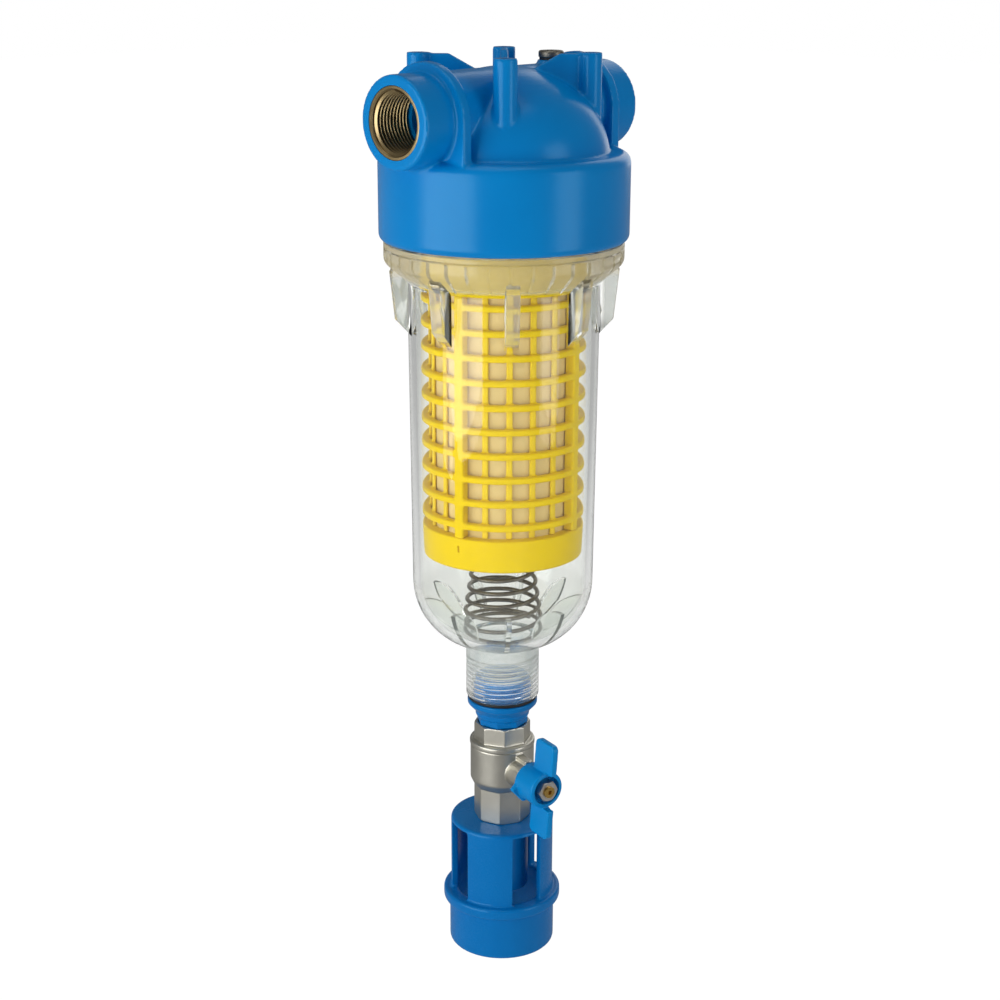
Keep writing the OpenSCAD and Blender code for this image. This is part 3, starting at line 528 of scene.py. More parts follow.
FINISH_OF_SLOT = {
    "head_plastic": HEAD_BLUE, "drain_plastic": DRAIN_BLUE, "handle_plastic": HANDLE_BLUE,
    "clear_plastic": CLEAR, "cage_plastic": YELLOW, "screen_net": SCREEN, "port_brass": BRASS,
    "stem_brass": STEM_BRASS, "nickel_plate": NICKEL, "ball_chrome": CHROME, "nut_steel": NUT_STEEL,
    "spring_steel": WIRE_STEEL, "black_rubber": RUBBER, "white_seat": SEAT,
}


def dress(piece, node, body, slot):
    """Gives a finished piece its finish, and puts it in the place of its solid."""
    piece.data.materials.clear()
    piece.data.materials.append(FINISH_OF_SLOT[slot])
    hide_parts(node)
    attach(piece, body)
    print(piece.name, "faces:", len(piece.data.polygons))


# %% [markdown]
# ## Head
#
# The real head is one moulding: a dome on a skirt, a boss and an arched flange at each port, and
# four bracket posts that webs brace. It could be cut out of one block, but the soft edges of a
# moulding come by themselves when overlapping shells are melted together with a voxel remesh.
# The bores are cut afterwards, so they stay crisp.

# %% Outside of the head
SKIRT_R = 54.5
SKIRT_FOOT = -54
SHOULDER = -24
DOME_BASE = -20
DOME_R = 45.5
DOME_TOP = 19.6
BOSS_R = 19.3
ARCH_X = 45.5
ARCH_R = 23.5
POST_X = 26
POST_Y = 25.5
POST_TOP = 25
VENT_X = 29
DOME_SIDE_R = 36
SKIRT_EDGE = 3
SHOULDER_EDGE = 8
ARCH_THICK = 5
POST_R = 5
POST_FOOT = -10
WEB_THICK = 3.5
WEB_IN = 11.8
WEB_OUT = 23.7
WEB_TOP = POST_TOP - 0.4
VENT_BOSS_R = 6
VENT_BOSS_TOP = 20.6
POSTS = [(x, y) for x in (-POST_X, POST_X) for y in (-POST_Y, POST_Y)]


def dome_arcs(half_width, rise, side_r):
    """Side arc and crown arc of the dome, from its base up to the axis."""
    crown_r = ((half_width - side_r) ** 2 + rise ** 2 - side_r ** 2) / (2 * (rise - side_r))
    turn = degrees(atan2(crown_r - rise, half_width - side_r))
    side = arc((half_width - side_r, DOME_BASE), side_r, 0, turn, 24)
    crown = arc((0, DOME_BASE + rise - crown_r), crown_r, turn, 90, 10)
    return side + crown[1:-1] + [(0, DOME_BASE + rise)]


def rod(name, radius, start, end, at=(0, 0, 0), turn=(0, 0, 0)):
    """A round rod along Z from one height to another, then turned and moved."""
    piece = lathe(name, [(0, start), (radius, start), (radius, end), (0, end)], 72, 0)
    return place(piece, turn, (at[0] * MM, at[1] * MM, at[2] * MM + PORT_Z))


def head_shell():
    dome = dome_arcs(DOME_R, DOME_TOP - DOME_BASE, DOME_SIDE_R)
    brim = SHOULDER + SHOULDER_EDGE
    skirt = rounded([
        (0, SKIRT_FOOT), (SKIRT_R, SKIRT_FOOT, SKIRT_EDGE), (SKIRT_R, brim, SHOULDER_EDGE), (DOME_R, brim)], 10)
    shells = [lathe("moulded_head", [tuple(p) for p in skirt] + dome, 180)]
    shells.append(rod("bosses", BOSS_R, -PORT_X, PORT_X, turn=(0, 90, 0)))
    arch = arc((0, 0), ARCH_R, 0, 180, 40) + [(-ARCH_R, SHOULDER), (ARCH_R, SHOULDER)]
    for side in (-1, 1):
        flange = slab("arch", arch, ARCH_THICK)
        place(flange, (90, 0, 90))
        shells.append(place(flange, at=(side * ARCH_X * MM, 0, PORT_Z)))
    reach = hypot(POST_X, POST_Y)
    web = [(WEB_IN, 0), (WEB_IN, DOME_TOP - 1.6), (WEB_OUT, WEB_TOP), (reach, WEB_TOP), (reach, POST_FOOT)]
    for x, y in POSTS:
        shells.append(rod("post", POST_R, POST_FOOT, POST_TOP, (x, y, 0)))
        brace = place(slab("web", web, WEB_THICK), (90, 0, 0))
        place(brace, (0, 0, degrees(atan2(y, x))))
        shells.append(place(brace, at=(0, 0, PORT_Z)))
    shells.append(rod("vent_boss", VENT_BOSS_R, 0, VENT_BOSS_TOP, (VENT_X, 0, 0)))
    return mould(join(shells), 0.75, 3)


# %% Bores of the head
WELL_FOOT = -46
WELL_R = 13
SEAT_RING = -26.5
SOCKET_R = 50.2
PASSAGE_R = 10.5
INSERT_R = 15
INSERT_LEN = 20
INNER_R = 41
INNER_RISE = 35.1
INNER_SIDE_R = 31.5
WELL_WALL = 3.5
INLET_END = 17.5
PILOT_R = 2
PILOT_DEEP = 14
VENT_HOLE_R = 3.55
PAST = 2


def head():
    shell = head_shell()
    inner = dome_arcs(INNER_R, INNER_RISE, INNER_SIDE_R)
    hollow = lathe("hollow", [(0, SKIRT_FOOT - PAST), (SOCKET_R, SKIRT_FOOT - PAST), (SOCKET_R, SEAT_RING),
                              (INNER_R, SEAT_RING)] + inner)
    carve(hollow, rod("well", WELL_R + WELL_WALL, WELL_FOOT, 20))
    carve(hollow, rod("outlet", PASSAGE_R + WELL_WALL, 0, 50, turn=(0, 90, 0)))
    carve(shell, hollow)
    carve(shell, rod("well_bore", WELL_R, WELL_FOOT - PAST, PASSAGE_R))
    for side in (-1, 1):
        turn = (0, 90 * side, 0)
        start = 0 if side > 0 else INLET_END
        carve(shell, rod("passage", PASSAGE_R, start, PORT_X - 1, turn=turn))
        carve(shell, rod("seat", INSERT_R + 0.05, PORT_X - INSERT_LEN, PORT_X + PAST, turn=turn))
    for x, y in POSTS:
        carve(shell, rod("pilot", PILOT_R, POST_TOP - PILOT_DEEP, POST_TOP + PAST, (x, y, 0)))
    carve(shell, rod("vent_hole", VENT_HOLE_R, 13, 23, (VENT_X, 0, 0)))
    smooth(shell, 40)
    dress(shell, "head", "head", "head_plastic")


head()

# %% [markdown]
# ## Brass ports
#
# Each port holds a brass insert with a pipe thread, and the photograph looks straight into one.
# A thread could be painted on as rings, but its spiral shows at the mouth. So one tooth outline is
# swept by the Screw modifier, its ends are closed, and the coil is added to the turned sleeve.

# %% Threads and inserts
PIPE_PITCH = 1.814
PIPE_MAJOR_R = 13.22
PIPE_MINOR_R = 12.1
PIPE_TURNS = 10
MOUTH_DEEP = 1.6
MOUTH_R = PIPE_MAJOR_R + 0.6


def thread(name, tooth, pitch, turns, base=PORT_Z):
    """Sweeps a closed tooth outline of (radius, height) upwards in a spiral."""
    points = [(r * MM, 0, base + h * MM) for r, h in tooth]
    coil = mend(trace(name, points + points[:1]))
    apply(coil, "SCREW", axis="Z", angle=2 * pi, screw_offset=pitch * MM, iterations=turns, steps=64,
          render_steps=64, use_merge_vertices=False)
    open_all(coil)
    bpy.ops.mesh.fill_holes(sides=0)
    close()
    return mend(coil)


def tooth(root_r, crest_r, foot, pitch):
    """Outline of a thread's tooth, with a small flat on its crest."""
    half = 0.44 * pitch
    flat = 0.09 * pitch
    return [(root_r, foot - half), (crest_r, foot - flat), (crest_r, foot + flat), (root_r, foot + half)]


def port_insert(name, node, side):
    length = INSERT_LEN - 0.1
    sleeve = lathe(name, rounded([
        (PIPE_MAJOR_R, 0), (INSERT_R, 0, 0.4), (INSERT_R, length, 0.3), (PIPE_MAJOR_R, length)]), base=0)
    ridge = tooth(PIPE_MAJOR_R + 0.2, PIPE_MINOR_R, 0.9, PIPE_PITCH)
    carve(sleeve, thread("pipe_thread", ridge, PIPE_PITCH, PIPE_TURNS, 0), "UNION")
    mouth_foot = length - MOUTH_DEEP
    carve(sleeve, lathe("mouth", [(0, mouth_foot), (PIPE_MINOR_R, mouth_foot), (MOUTH_R, length),
                                  (MOUTH_R, length + PAST), (0, length + PAST)], base=0))
    place(sleeve, at=(0, 0, (PORT_X - INSERT_LEN + 0.05) * MM))
    place(sleeve, (0, 90 * side, 0), (0, 0, PORT_Z))
    smooth(sleeve, 25)
    dress(sleeve, node, "head", "port_brass")


port_insert("inlet_thread", "inlet_insert", -1)
port_insert("outlet_thread", "outlet_insert", 1)

# %% Vent plug
PLUG_TIP = 13.6
PLUG_FOOT = 21.7
PLUG_TOP = 24.5
PLUG_R = 3.4
PLUG_HEAD_R = 5.5
PLUG_KEY = 4


def flat_bar(name, across_flats, start, end, base=PORT_Z, corners=6):
    """A straight bar with flat sides, along Z."""
    fresh()
    radius = across_flats / 2 / cos(pi / corners)
    bpy.ops.mesh.primitive_cylinder_add(vertices=corners, radius=radius * MM, depth=(end - start) * MM,
                                        location=(0, 0, base + (start + end) / 2 * MM))
    piece = bpy.context.object
    piece.name = name
    bpy.ops.object.transform_apply(location=True, rotation=True, scale=True)
    return place(piece, (0, 0, 180 / corners))


def vent_plug():
    plug = lathe("vent_screw", rounded([
        (0, PLUG_TIP), (PLUG_R, PLUG_TIP, 0.5), (PLUG_R, PLUG_FOOT), (PLUG_HEAD_R, PLUG_FOOT, 0.3),
        (PLUG_HEAD_R, PLUG_TOP, 0.8), (0, PLUG_TOP)]), 72)
    carve(plug, flat_bar("key", PLUG_KEY, PLUG_FOOT - 0.5, 25))
    smooth(place(plug, at=(VENT_X * MM, 0, 0)), 30)
    dress(plug, "vent_plug", "head", "nickel_plate")


vent_plug()

# %% [markdown]
# ## Bowl
#
# The bowl is one clear moulding, so light must meet no wall inside it: the lugs and fins are
# added with a real union, and not pushed into the wall. The flutes round its collar are every
# tenth line of the turned mesh, pressed in a little with Shrink/Fatten.

# %% Bowl wall
COLLAR_R = 52.5
COLLAR_TOP = -54.5
COLLAR_FOOT = -63
WALL_TOP_R = 42.3
WALL_FOOT = -210
WALL_FOOT_R = 41.15
BOWL_WALL = 3.3
FOOT_ROUND = 32
FOOT_MID_R = WALL_FOOT_R - FOOT_ROUND
NECK_R = 16.9
NECK_BORE_R = 13.4
BOWL_NECK_R = 49.8
RIM_TOP = -27.3
FLUTES = 36
FLUTE_TURN = 3
FLUTE_DEEP = 1.2
FLUTE_FOOT = -68
FLUTE_IN_R = 45.2
BOWL_STEPS = 360
BOWL_TURN = -1.5
LINE_DEEP = 0.6
RIM_IN_R = 44.8
GROOVE_R = (45.7, 48.9)
GROOVE_FOOT = RIM_TOP - 2.4


def bowl_wall():
    inner_round = FOOT_ROUND - BOWL_WALL
    out_end = -degrees(asin((WALL_FOOT - NECK_TOP) / FOOT_ROUND))
    in_end = -degrees(acos((NECK_BORE_R - FOOT_MID_R) / inner_round))
    outside = rounded([
        (BOWL_NECK_R, RIM_TOP, 0.6), (BOWL_NECK_R, COLLAR_TOP), (COLLAR_R, COLLAR_TOP, 0.5),
        (COLLAR_R, COLLAR_TOP - 2), (COLLAR_R - LINE_DEEP, COLLAR_TOP - 2.4), (COLLAR_R, COLLAR_TOP - 2.8),
        (COLLAR_R, COLLAR_TOP - 3.5), (COLLAR_R, COLLAR_FOOT, 4), (WALL_TOP_R, WALL_TOP, 3),
        (WALL_FOOT_R, WALL_FOOT)])[1:-1]
    foot_out = arc((FOOT_MID_R, WALL_FOOT), FOOT_ROUND, 0, out_end, 24)
    neck = rounded([
        (NECK_R, NECK_TOP), (NECK_R, NECK_FOOT, 0.7), (NECK_BORE_R, NECK_FOOT, 0.3),
        (NECK_BORE_R, NECK_TOP + 2)])[1:-1]
    foot_in = arc((FOOT_MID_R, WALL_FOOT), inner_round, in_end, 0, 20)
    inside = rounded([
        (WALL_FOOT_R - BOWL_WALL, WALL_FOOT), (WALL_TOP_R - BOWL_WALL, WALL_TOP, 3), (RIM_IN_R, COLLAR_FOOT, 3),
        (RIM_IN_R, RIM_TOP, 0.4), (GROOVE_R[0], RIM_TOP), (GROOVE_R[0], GROOVE_FOOT),
        (GROOVE_R[1], GROOVE_FOOT), (GROOVE_R[1], RIM_TOP)])[1:]
    outline = outside + [Vector(p) for p in foot_out] + neck + [Vector(p) for p in foot_in] + inside
    return lathe("clear_bowl", outline, BOWL_STEPS)


def press_flutes(bowl):
    """Presses a shallow groove into the collar and its cone every few degrees."""
    pitch = 2 * pi / FLUTES
    hold(bowl)
    bpy.ops.object.mode_set(mode="EDIT")
    bpy.ops.mesh.select_mode(type="VERT")
    bpy.ops.mesh.select_all(action="DESELECT")
    close()
    for vertex in bowl.data.vertices:
        height = (vertex.co.z - PORT_Z) / MM
        radius = hypot(vertex.co.x, vertex.co.y) / MM
        angle = (atan2(vertex.co.y, vertex.co.x) + radians(FLUTE_TURN)) / pitch
        on_line = abs(angle - round(angle)) * pitch < 0.3 * 2 * pi / BOWL_STEPS
        vertex.select = on_line and FLUTE_FOOT < height < COLLAR_TOP - 3.2 and radius > FLUTE_IN_R
    bpy.ops.object.mode_set(mode="EDIT")
    bpy.ops.transform.shrink_fatten(value=-FLUTE_DEEP * MM)
    close()


# %% Lugs and fins
LUGS = 9
LUG_R = 50.5
LUG_TOP = -64.8
LUG_THICK = 6
LUG_SIDE = 23
LUG_LEN = 32
LUG_TAPER = 2.2
FIN_THICK = 2.2
FIN_ANGLES = (-15, -68)
HOLLOW_AT = (36.87, -235.8)
HOLLOW_REACH = (16.97, 18.4)
NECK_PITCH = 2.3


def wrench_lug():
    root = WALL_FOOT_R - BOWL_WALL / 3
    outline = [(root, WALL_TOP), (LUG_R - 1.2, LUG_TOP + 0.4), (LUG_R, LUG_TOP - 2),
               (LUG_R - LUG_TAPER, LUG_TOP - LUG_SIDE), (root, LUG_TOP - LUG_LEN)]
    lug = slab("lug", outline, LUG_THICK)
    apply(lug, "BEVEL", width=0.35 * MM, segments=2, limit_method="ANGLE", angle_limit=radians(40))
    return place(place(lug, (90, 0, 0)), at=(0, 0, PORT_Z))


def foot_fin():
    round_r = FOOT_ROUND - BOWL_WALL * 0.6
    curve = arc((FOOT_MID_R, WALL_FOOT), round_r, FIN_ANGLES[0], FIN_ANGLES[1], 16)
    turns = [radians(t) for t in range(90, 0, -10)]
    hollow = [(HOLLOW_AT[0] - HOLLOW_REACH[0] * sin(t), HOLLOW_AT[1] + HOLLOW_REACH[1] * cos(t)) for t in turns]
    fin = slab("fin", curve + hollow, FIN_THICK)
    return place(place(fin, (90, 0, 0)), at=(0, 0, PORT_Z))


def bowl():
    shell = bowl_wall()
    press_flutes(shell)
    carve(shell, copies(wrench_lug(), LUGS, BOWL_TURN - 90), "UNION")
    carve(shell, copies(foot_fin(), LUGS, BOWL_TURN - 90), "UNION")
    groove = tooth(NECK_BORE_R - 0.3, NECK_BORE_R + 0.8, NECK_FOOT - 1, NECK_PITCH)
    carve(shell, thread("neck_thread", groove, NECK_PITCH, 9))
    smooth(shell, 28)
    dress(shell, "bowl", "bowl", "clear_plastic")


bowl()

# %% [markdown]
# ## Cartridge
#
# Yellow rings and ribs hold a woven screen up from outside. The ribs melt into the rings on the
# real moulding, so the rings, with their round edges, and the ribs are joined and remeshed. The
# remesh gives the flats more faces than they need, so a Decimate modifier takes half of them out.

# %% Cage
CAGE_TOP = -72.7
CAGE_FOOT = -180.9
RING_R = 36.5
RING_IN_R = 32.75
RING_H = 2.8
RING_PITCH = 10.8
RINGS = 10
FIRST_RING = 4.3
CAGE_TURN = 12.5 - 90
MAIN_RIBS = 4
FINE_RIBS = 20
KEPT_FACES = 0.48
RIB_IN_R = 31.95
RIB_HALF = 2.12
FINE_R = 33.2
FINE_HALF = 1.35


def cage():
    parts = []
    for i in range(RINGS):
        foot = CAGE_FOOT + FIRST_RING + i * RING_PITCH
        section = rounded([(RING_IN_R, foot, 0.3), (RING_R, foot, 0.7), (RING_R, foot + RING_H, 0.7),
                           (RING_IN_R, foot + RING_H, 0.3)])
        parts.append(lathe("cage_rings", section, 160))
    rib = block("rib", (RIB_IN_R, -RIB_HALF, CAGE_FOOT), (RING_R - 0.15, RIB_HALF, CAGE_TOP), 0.4)
    parts.append(copies(rib, MAIN_RIBS, CAGE_TURN))
    fine = block("fine_rib", (RIB_IN_R, -FINE_HALF, CAGE_FOOT), (FINE_R, FINE_HALF, CAGE_TOP), 0.2)
    parts.append(copies(fine, FINE_RIBS, CAGE_TURN))
    net = mould(join(parts), 0.5, 1)
    apply(net, "DECIMATE", ratio=KEPT_FACES)
    smooth(net, 60)
    dress(net, "cartridge_cage", "cartridge", "cage_plastic")


cage()

# %% Screen and caps
CART_FOOT = -195.9
CAP_TOP = -46.2
CAP_FLOOR = 3
CAP_IN_R = 29.15
SCREEN_R = 31.8
SCREEN_IN_R = 31.35
LOCATOR_R = 11.8
LOCATOR_FOOT = CART_FOOT - 2.5
SPIGOT_R = 12.8
SPIGOT_IN_R = 9
SPIGOT_TOP = CAP_TOP + 15
RING_GROOVE_R = 10.4
RING_GROOVE_HALF = 1.25


def screen():
    sleeve = lathe("woven_screen", [
        (SCREEN_IN_R, CAGE_FOOT), (SCREEN_R, CAGE_FOOT), (SCREEN_R, CAGE_TOP), (SCREEN_IN_R, CAGE_TOP)], 180)
    smooth(sleeve)
    dress(sleeve, "filter_screen", "cartridge", "screen_net")


def bottom_cap():
    cap = lathe("lower_cap", rounded([
        (0, CART_FOOT + CAP_FLOOR), (CAP_IN_R, CART_FOOT + CAP_FLOOR, 1), (CAP_IN_R, CAGE_FOOT),
        (RING_R, CAGE_FOOT, 0.8), (RING_R - 0.6, CART_FOOT, 1.6), (LOCATOR_R, CART_FOOT),
        (LOCATOR_R - 1, LOCATOR_FOOT, 0.5), (0, LOCATOR_FOOT)]), 180)
    notch = block("notch", (RING_R - 1, -0.5, CAGE_FOOT - 6.6), (RING_R + 1, 0.5, CAGE_FOOT - 3.4), 0.2)
    carve(cap, place(notch, (0, 0, CAGE_TURN - 90)))
    smooth(cap)
    dress(cap, "bottom_cap", "cartridge", "cage_plastic")


def top_cap():
    middle = CAP_TOP + 9
    low, high = middle - RING_GROOVE_HALF, middle + RING_GROOVE_HALF
    cap = lathe("upper_cap", rounded([
        (SPIGOT_IN_R, SPIGOT_TOP, 0.5), (SPIGOT_R, SPIGOT_TOP, 1), (SPIGOT_R, high), (RING_GROOVE_R, high),
        (RING_GROOVE_R, low), (SPIGOT_R, low), (SPIGOT_R, CAP_TOP, 0.8), (RING_R, CAP_TOP, 1.5),
        (RING_R, CAGE_TOP, 0.8), (CAP_IN_R, CAGE_TOP), (CAP_IN_R, CAP_TOP - CAP_FLOOR, 1),
        (SPIGOT_IN_R, CAP_TOP - CAP_FLOOR)]), 180)
    smooth(cap)
    dress(cap, "top_cap", "cartridge", "cage_plastic")


screen()
bottom_cap()
top_cap()

# %% [markdown]
# ## Spring
#
# A cone-shaped spring of dark wire pushes the cartridge up. Its path is a chain of vertices that a
# loop works out; turned into a curve it gets a round section, and then it is a mesh again.

# %% Wire
SPRING_TURNS = 8
FLAT_TURN = 0.75
WIRE_R = 1.0
SPRING_TOP = (13, -197.1)
SPRING_FOOT = (18.7, -235.79)


def spring():
    path = []
    steps = int(SPRING_TURNS * 40)
    for k in range(steps + 1):
        turn = SPRING_TURNS * k / steps
        climb = min(1, max(0, (turn - FLAT_TURN) / (SPRING_TURNS - 2 * FLAT_TURN)))
        radius = SPRING_FOOT[0] + (SPRING_TOP[0] - SPRING_FOOT[0]) * climb
        height = SPRING_FOOT[1] + (SPRING_TOP[1] - SPRING_FOOT[1]) * climb
        angle = 2 * pi * turn
        path.append((radius * cos(angle) * MM, radius * sin(angle) * MM, PORT_Z + height * MM))
    coil = hold(trace("coil_spring", path))
    bpy.ops.object.convert(target="CURVE")
    coil.data.bevel_depth = WIRE_R * MM
    coil.data.bevel_resolution = 3
    coil.data.use_fill_caps = True
    bpy.ops.object.convert(target="MESH")
    coil = bpy.context.object
    smooth(mend(coil), 50)
    dress(coil, "spring", "bowl", "spring_steel")
    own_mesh(coil)


spring()

# %% [markdown]
# ## Drain: nipple, valve, handle and tundish
#
# The drain line turns a little against the ports, so its pieces are made straight and then turned
# together. The valve is cast, and the nipple, handle and tundish are moulded, so they are melted
# from simple bars as the head was. Faces that a lathe would finish are left flat.

# %% Nipple and its seal
DRAIN_TURN = -13
FLANGE_R = 16.3
FLANGE_TOP = -269.15
FLANGE_FOOT = -271.55
VALVE_TOP = -281.55
DRAIN_R = 7.2
NIPPLE_R = 12.4
NIPPLE_TOP = NECK_FOOT + 10
STEP_R = 12.6
TAIL_R = 10.3
TAIL_FOOT = VALVE_TOP - 9
NIPPLE_FLATS = 22.4
SEAL_R = 0.9


def drain_nipple():
    body = lathe("threaded_nipple", rounded([
        (0, NIPPLE_TOP), (11.8, NIPPLE_TOP), (NIPPLE_R, NIPPLE_TOP - 1), (NIPPLE_R, FLANGE_TOP),
        (FLANGE_R, FLANGE_TOP, 0.5), (FLANGE_R, FLANGE_FOOT, 0.6), (STEP_R, FLANGE_FOOT - 4, 0.3),
        (STEP_R, FLANGE_FOOT - 6, 0.4), (11.4, FLANGE_FOOT - 7), (11, VALVE_TOP), (TAIL_R, VALVE_TOP),
        (TAIL_R, TAIL_FOOT), (0, TAIL_FOOT)]))
    flats = flat_bar("flats", NIPPLE_FLATS, VALVE_TOP + 0.1, FLANGE_FOOT - 5, corners=8)
    piece = mould(join([body, place(flats, (0, 0, DRAIN_TURN + 22.5))]), 0.35, 2)
    carve(piece, rod("bore", DRAIN_R, NECK_FOOT + 12, VALVE_TOP - 12))
    ridge = tooth(NIPPLE_R - 0.2, NECK_BORE_R - 0.1, FLANGE_TOP + 2.2, NECK_PITCH)
    carve(piece, thread("nipple_thread", ridge, NECK_PITCH, 3), "UNION")
    smooth(piece, 40)
    dress(piece, "drain_nipple", "bowl", "drain_plastic")


def nipple_seal():
    ring = lathe("neck_ring", arc((FLANGE_R - SEAL_R, NECK_FOOT - 0.95), SEAL_R, 0, 337.5, 15))
    smooth(ring, 60)
    dress(ring, "nipple_seal", "bowl", "black_rubber")


drain_nipple()
nipple_seal()

# %% Valve
COLLAR_Z = -290.05
BODY_TOP = -292.55
BODY_FOOT = -313.15
VALVE_FOOT = -330.15
END_TURN = -5
FOOT_TURN = -15
BALL_Z = (BODY_TOP + BODY_FOOT) / 2
OCT_R = 13.3
OCT_FLATS = 2 * OCT_R * cos(pi / 8)
OCT_EDGE = 0.7
VALVE_R = 15
VALVE_COLLAR_R = 15.3
JOINT_R = 12.2
UPPER_BORE_R = 11.6
LOWER_BORE_R = 10.4
BORE_DEEP = 9.4
SEAT_R = 10.6
CHAMBER_R = 10.8
STEM_BOSS_R = 7
STEM_BOSS_END = 23
STEM_HOLE_R = 3.55


def turn_drain(piece):
    return place(piece, (0, 0, DRAIN_TURN))


def octagon_bar(name, foot, top, turn):
    """An octagon bar whose corners are turned off at both ends."""
    bar = place(flat_bar(name, OCT_FLATS, foot, top, corners=8), (0, 0, turn))
    end_r = OCT_R - OCT_EDGE
    turned = lathe("turned", [
        (0, foot), (end_r, foot), (OCT_R, foot + OCT_EDGE), (OCT_R, top - OCT_EDGE), (end_r, top), (0, top)])
    return carve(bar, turned, "INTERSECT")


def valve_end():
    bar = octagon_bar("valve_mouth", COLLAR_Z - 0.5, VALVE_TOP, END_TURN)
    collar = lathe("collar", rounded([
        (0, BODY_TOP), (VALVE_COLLAR_R, BODY_TOP, 0.3), (VALVE_COLLAR_R, COLLAR_Z, 0.8), (0, COLLAR_Z)]))
    spigot = rod("spigot", JOINT_R, BODY_TOP - 4.4, BODY_TOP + 1)
    piece = mould(join([bar, collar, spigot]), 0.3, 1)
    carve(piece, rod("thread_bore", UPPER_BORE_R, VALVE_TOP - BORE_DEEP, VALVE_TOP + 1))
    carve(piece, rod("bore", DRAIN_R, BODY_TOP - 6, VALVE_TOP))
    carve(piece, rod("seat", SEAT_R, BODY_TOP - 6, BODY_TOP - 1.15))
    smooth(turn_drain(piece), 40)
    dress(piece, "valve_end", "bowl", "nickel_plate")


def along_stem(piece):
    """Turns a piece made along Z so that it runs out along the stem, and puts it there."""
    return place(piece, (90, 0, DRAIN_TURN), (0, 0, PORT_Z + BALL_Z * MM))


def valve_body():
    middle = lathe("valve_casting", rounded([
        (0, BODY_FOOT), (13.4, BODY_FOOT, 0.6), (VALVE_R, BODY_FOOT + 3.4, 2), (VALVE_R, BODY_TOP - 0.1, 0.4),
        (0, BODY_TOP - 0.1)], 5))
    bar = octagon_bar("bar", VALVE_FOOT, BODY_FOOT + 1, FOOT_TURN)
    boss = rod("boss", STEM_BOSS_R, 0, STEM_BOSS_END, (0, 0, BALL_Z), (90, 0, 0))
    lug = block("stop_lug", (-2, -STEM_BOSS_END, BALL_Z + 6), (2, -13, BALL_Z + 8.9), 0.4)
    piece = mould(join([middle, bar, boss, lug]), 0.3, 2)
    carve(piece, rod("socket", JOINT_R + 0.1, BODY_TOP - 4.5, BODY_TOP + 1))
    carve(piece, rod("chamber", CHAMBER_R, BODY_FOOT + 4.3, BODY_TOP - 4))
    carve(piece, rod("bore", DRAIN_R, VALVE_FOOT - 1, BALL_Z))
    carve(piece, rod("thread_bore", LOWER_BORE_R, VALVE_FOOT - 1, VALVE_FOOT + BORE_DEEP))
    carve(piece, rod("stem_bore", STEM_HOLE_R, 0, STEM_BOSS_END + PAST, (0, 0, BALL_Z), (90, 0, 0)))
    smooth(turn_drain(piece), 40)
    dress(piece, "valve_body", "bowl", "nickel_plate")


valve_end()
valve_body()

# %% Handle, nut and stem
HANDLE_IN = 23.5
HANDLE_OUT = 37.7
NUT_IN = 34.2
NUT_OUT = 39.2
HUB_R = 8.7
WING_HALF = 23
WING_IN = 28
WING_OUT = 42.3
WING_LEAN = -4.5
WING_THICK = 3.25
WING_ROUND = 2.5
STOP_THICK = 3
HUB_WALL = 1.9
NUT_FLATS = 9
NUT_R = 5.25
NUT_HOLE_R = 2.75


def pin(name, radius, start, end):
    """A round tool along the stem, made at the origin."""
    return lathe(name, [(0, start), (radius, start), (radius, end), (0, end)], base=0)


def handle():
    hub = lathe("hub", rounded([
        (0, HANDLE_IN), (HUB_R, HANDLE_IN, 0.6), (HUB_R, HANDLE_OUT, 0.8), (0, HANDLE_OUT)]), base=0)
    width = WING_OUT - WING_IN
    wing = slab("wing_handle", rounded([
        (0, -WING_HALF, WING_ROUND), (width, -WING_HALF, WING_ROUND), (width, WING_HALF, WING_ROUND),
        (0, WING_HALF, WING_ROUND)], 6), WING_THICK)
    apply(wing, "BEVEL", width=0.6 * MM, segments=3, limit_method="ANGLE", angle_limit=radians(60))
    place(wing, (0, -90, 0), (0, 0, WING_IN * MM))
    place(wing, (0, 0, WING_LEAN))
    stop = slab("stop", rounded([(0, HUB_R), (-11.3, -2.2, 0.8), (-5.6, -HUB_R, 0.8), (0, -HUB_R)]), STOP_THICK)
    place(stop, at=(0, 0, (HANDLE_IN + STOP_THICK / 2) * MM))
    carve(wing, pin("clearing", HUB_R, HANDLE_OUT - 0.4, WING_OUT + 1))
    piece = mould(join([wing, hub, stop]), 0.35, 3)
    carve(piece, pin("recess", HUB_R - HUB_WALL, NUT_IN, HANDLE_OUT + 1))
    carve(piece, pin("stem_hole", STEM_HOLE_R, HANDLE_IN - 1, NUT_IN + 1))
    smooth(along_stem(piece), 40)
    dress(piece, "handle", "valve_handle", "handle_plastic")


def handle_nut():
    nut = flat_bar("hex_nut", NUT_FLATS, NUT_IN + 0.05, NUT_OUT, 0)
    turned = lathe("chamfer", [
        (0, NUT_IN), (4.9, NUT_IN), (NUT_R, NUT_IN + 0.4), (NUT_R, NUT_OUT - 0.5), (NUT_FLATS / 2, NUT_OUT),
        (0, NUT_OUT)], base=0)
    carve(nut, turned, "INTERSECT")
    carve(nut, pin("hole", NUT_HOLE_R, NUT_IN - 1, NUT_OUT + 1))
    smooth(along_stem(nut), 30)
    dress(nut, "handle_nut", "valve_handle", "nut_steel")


handle()
handle_nut()

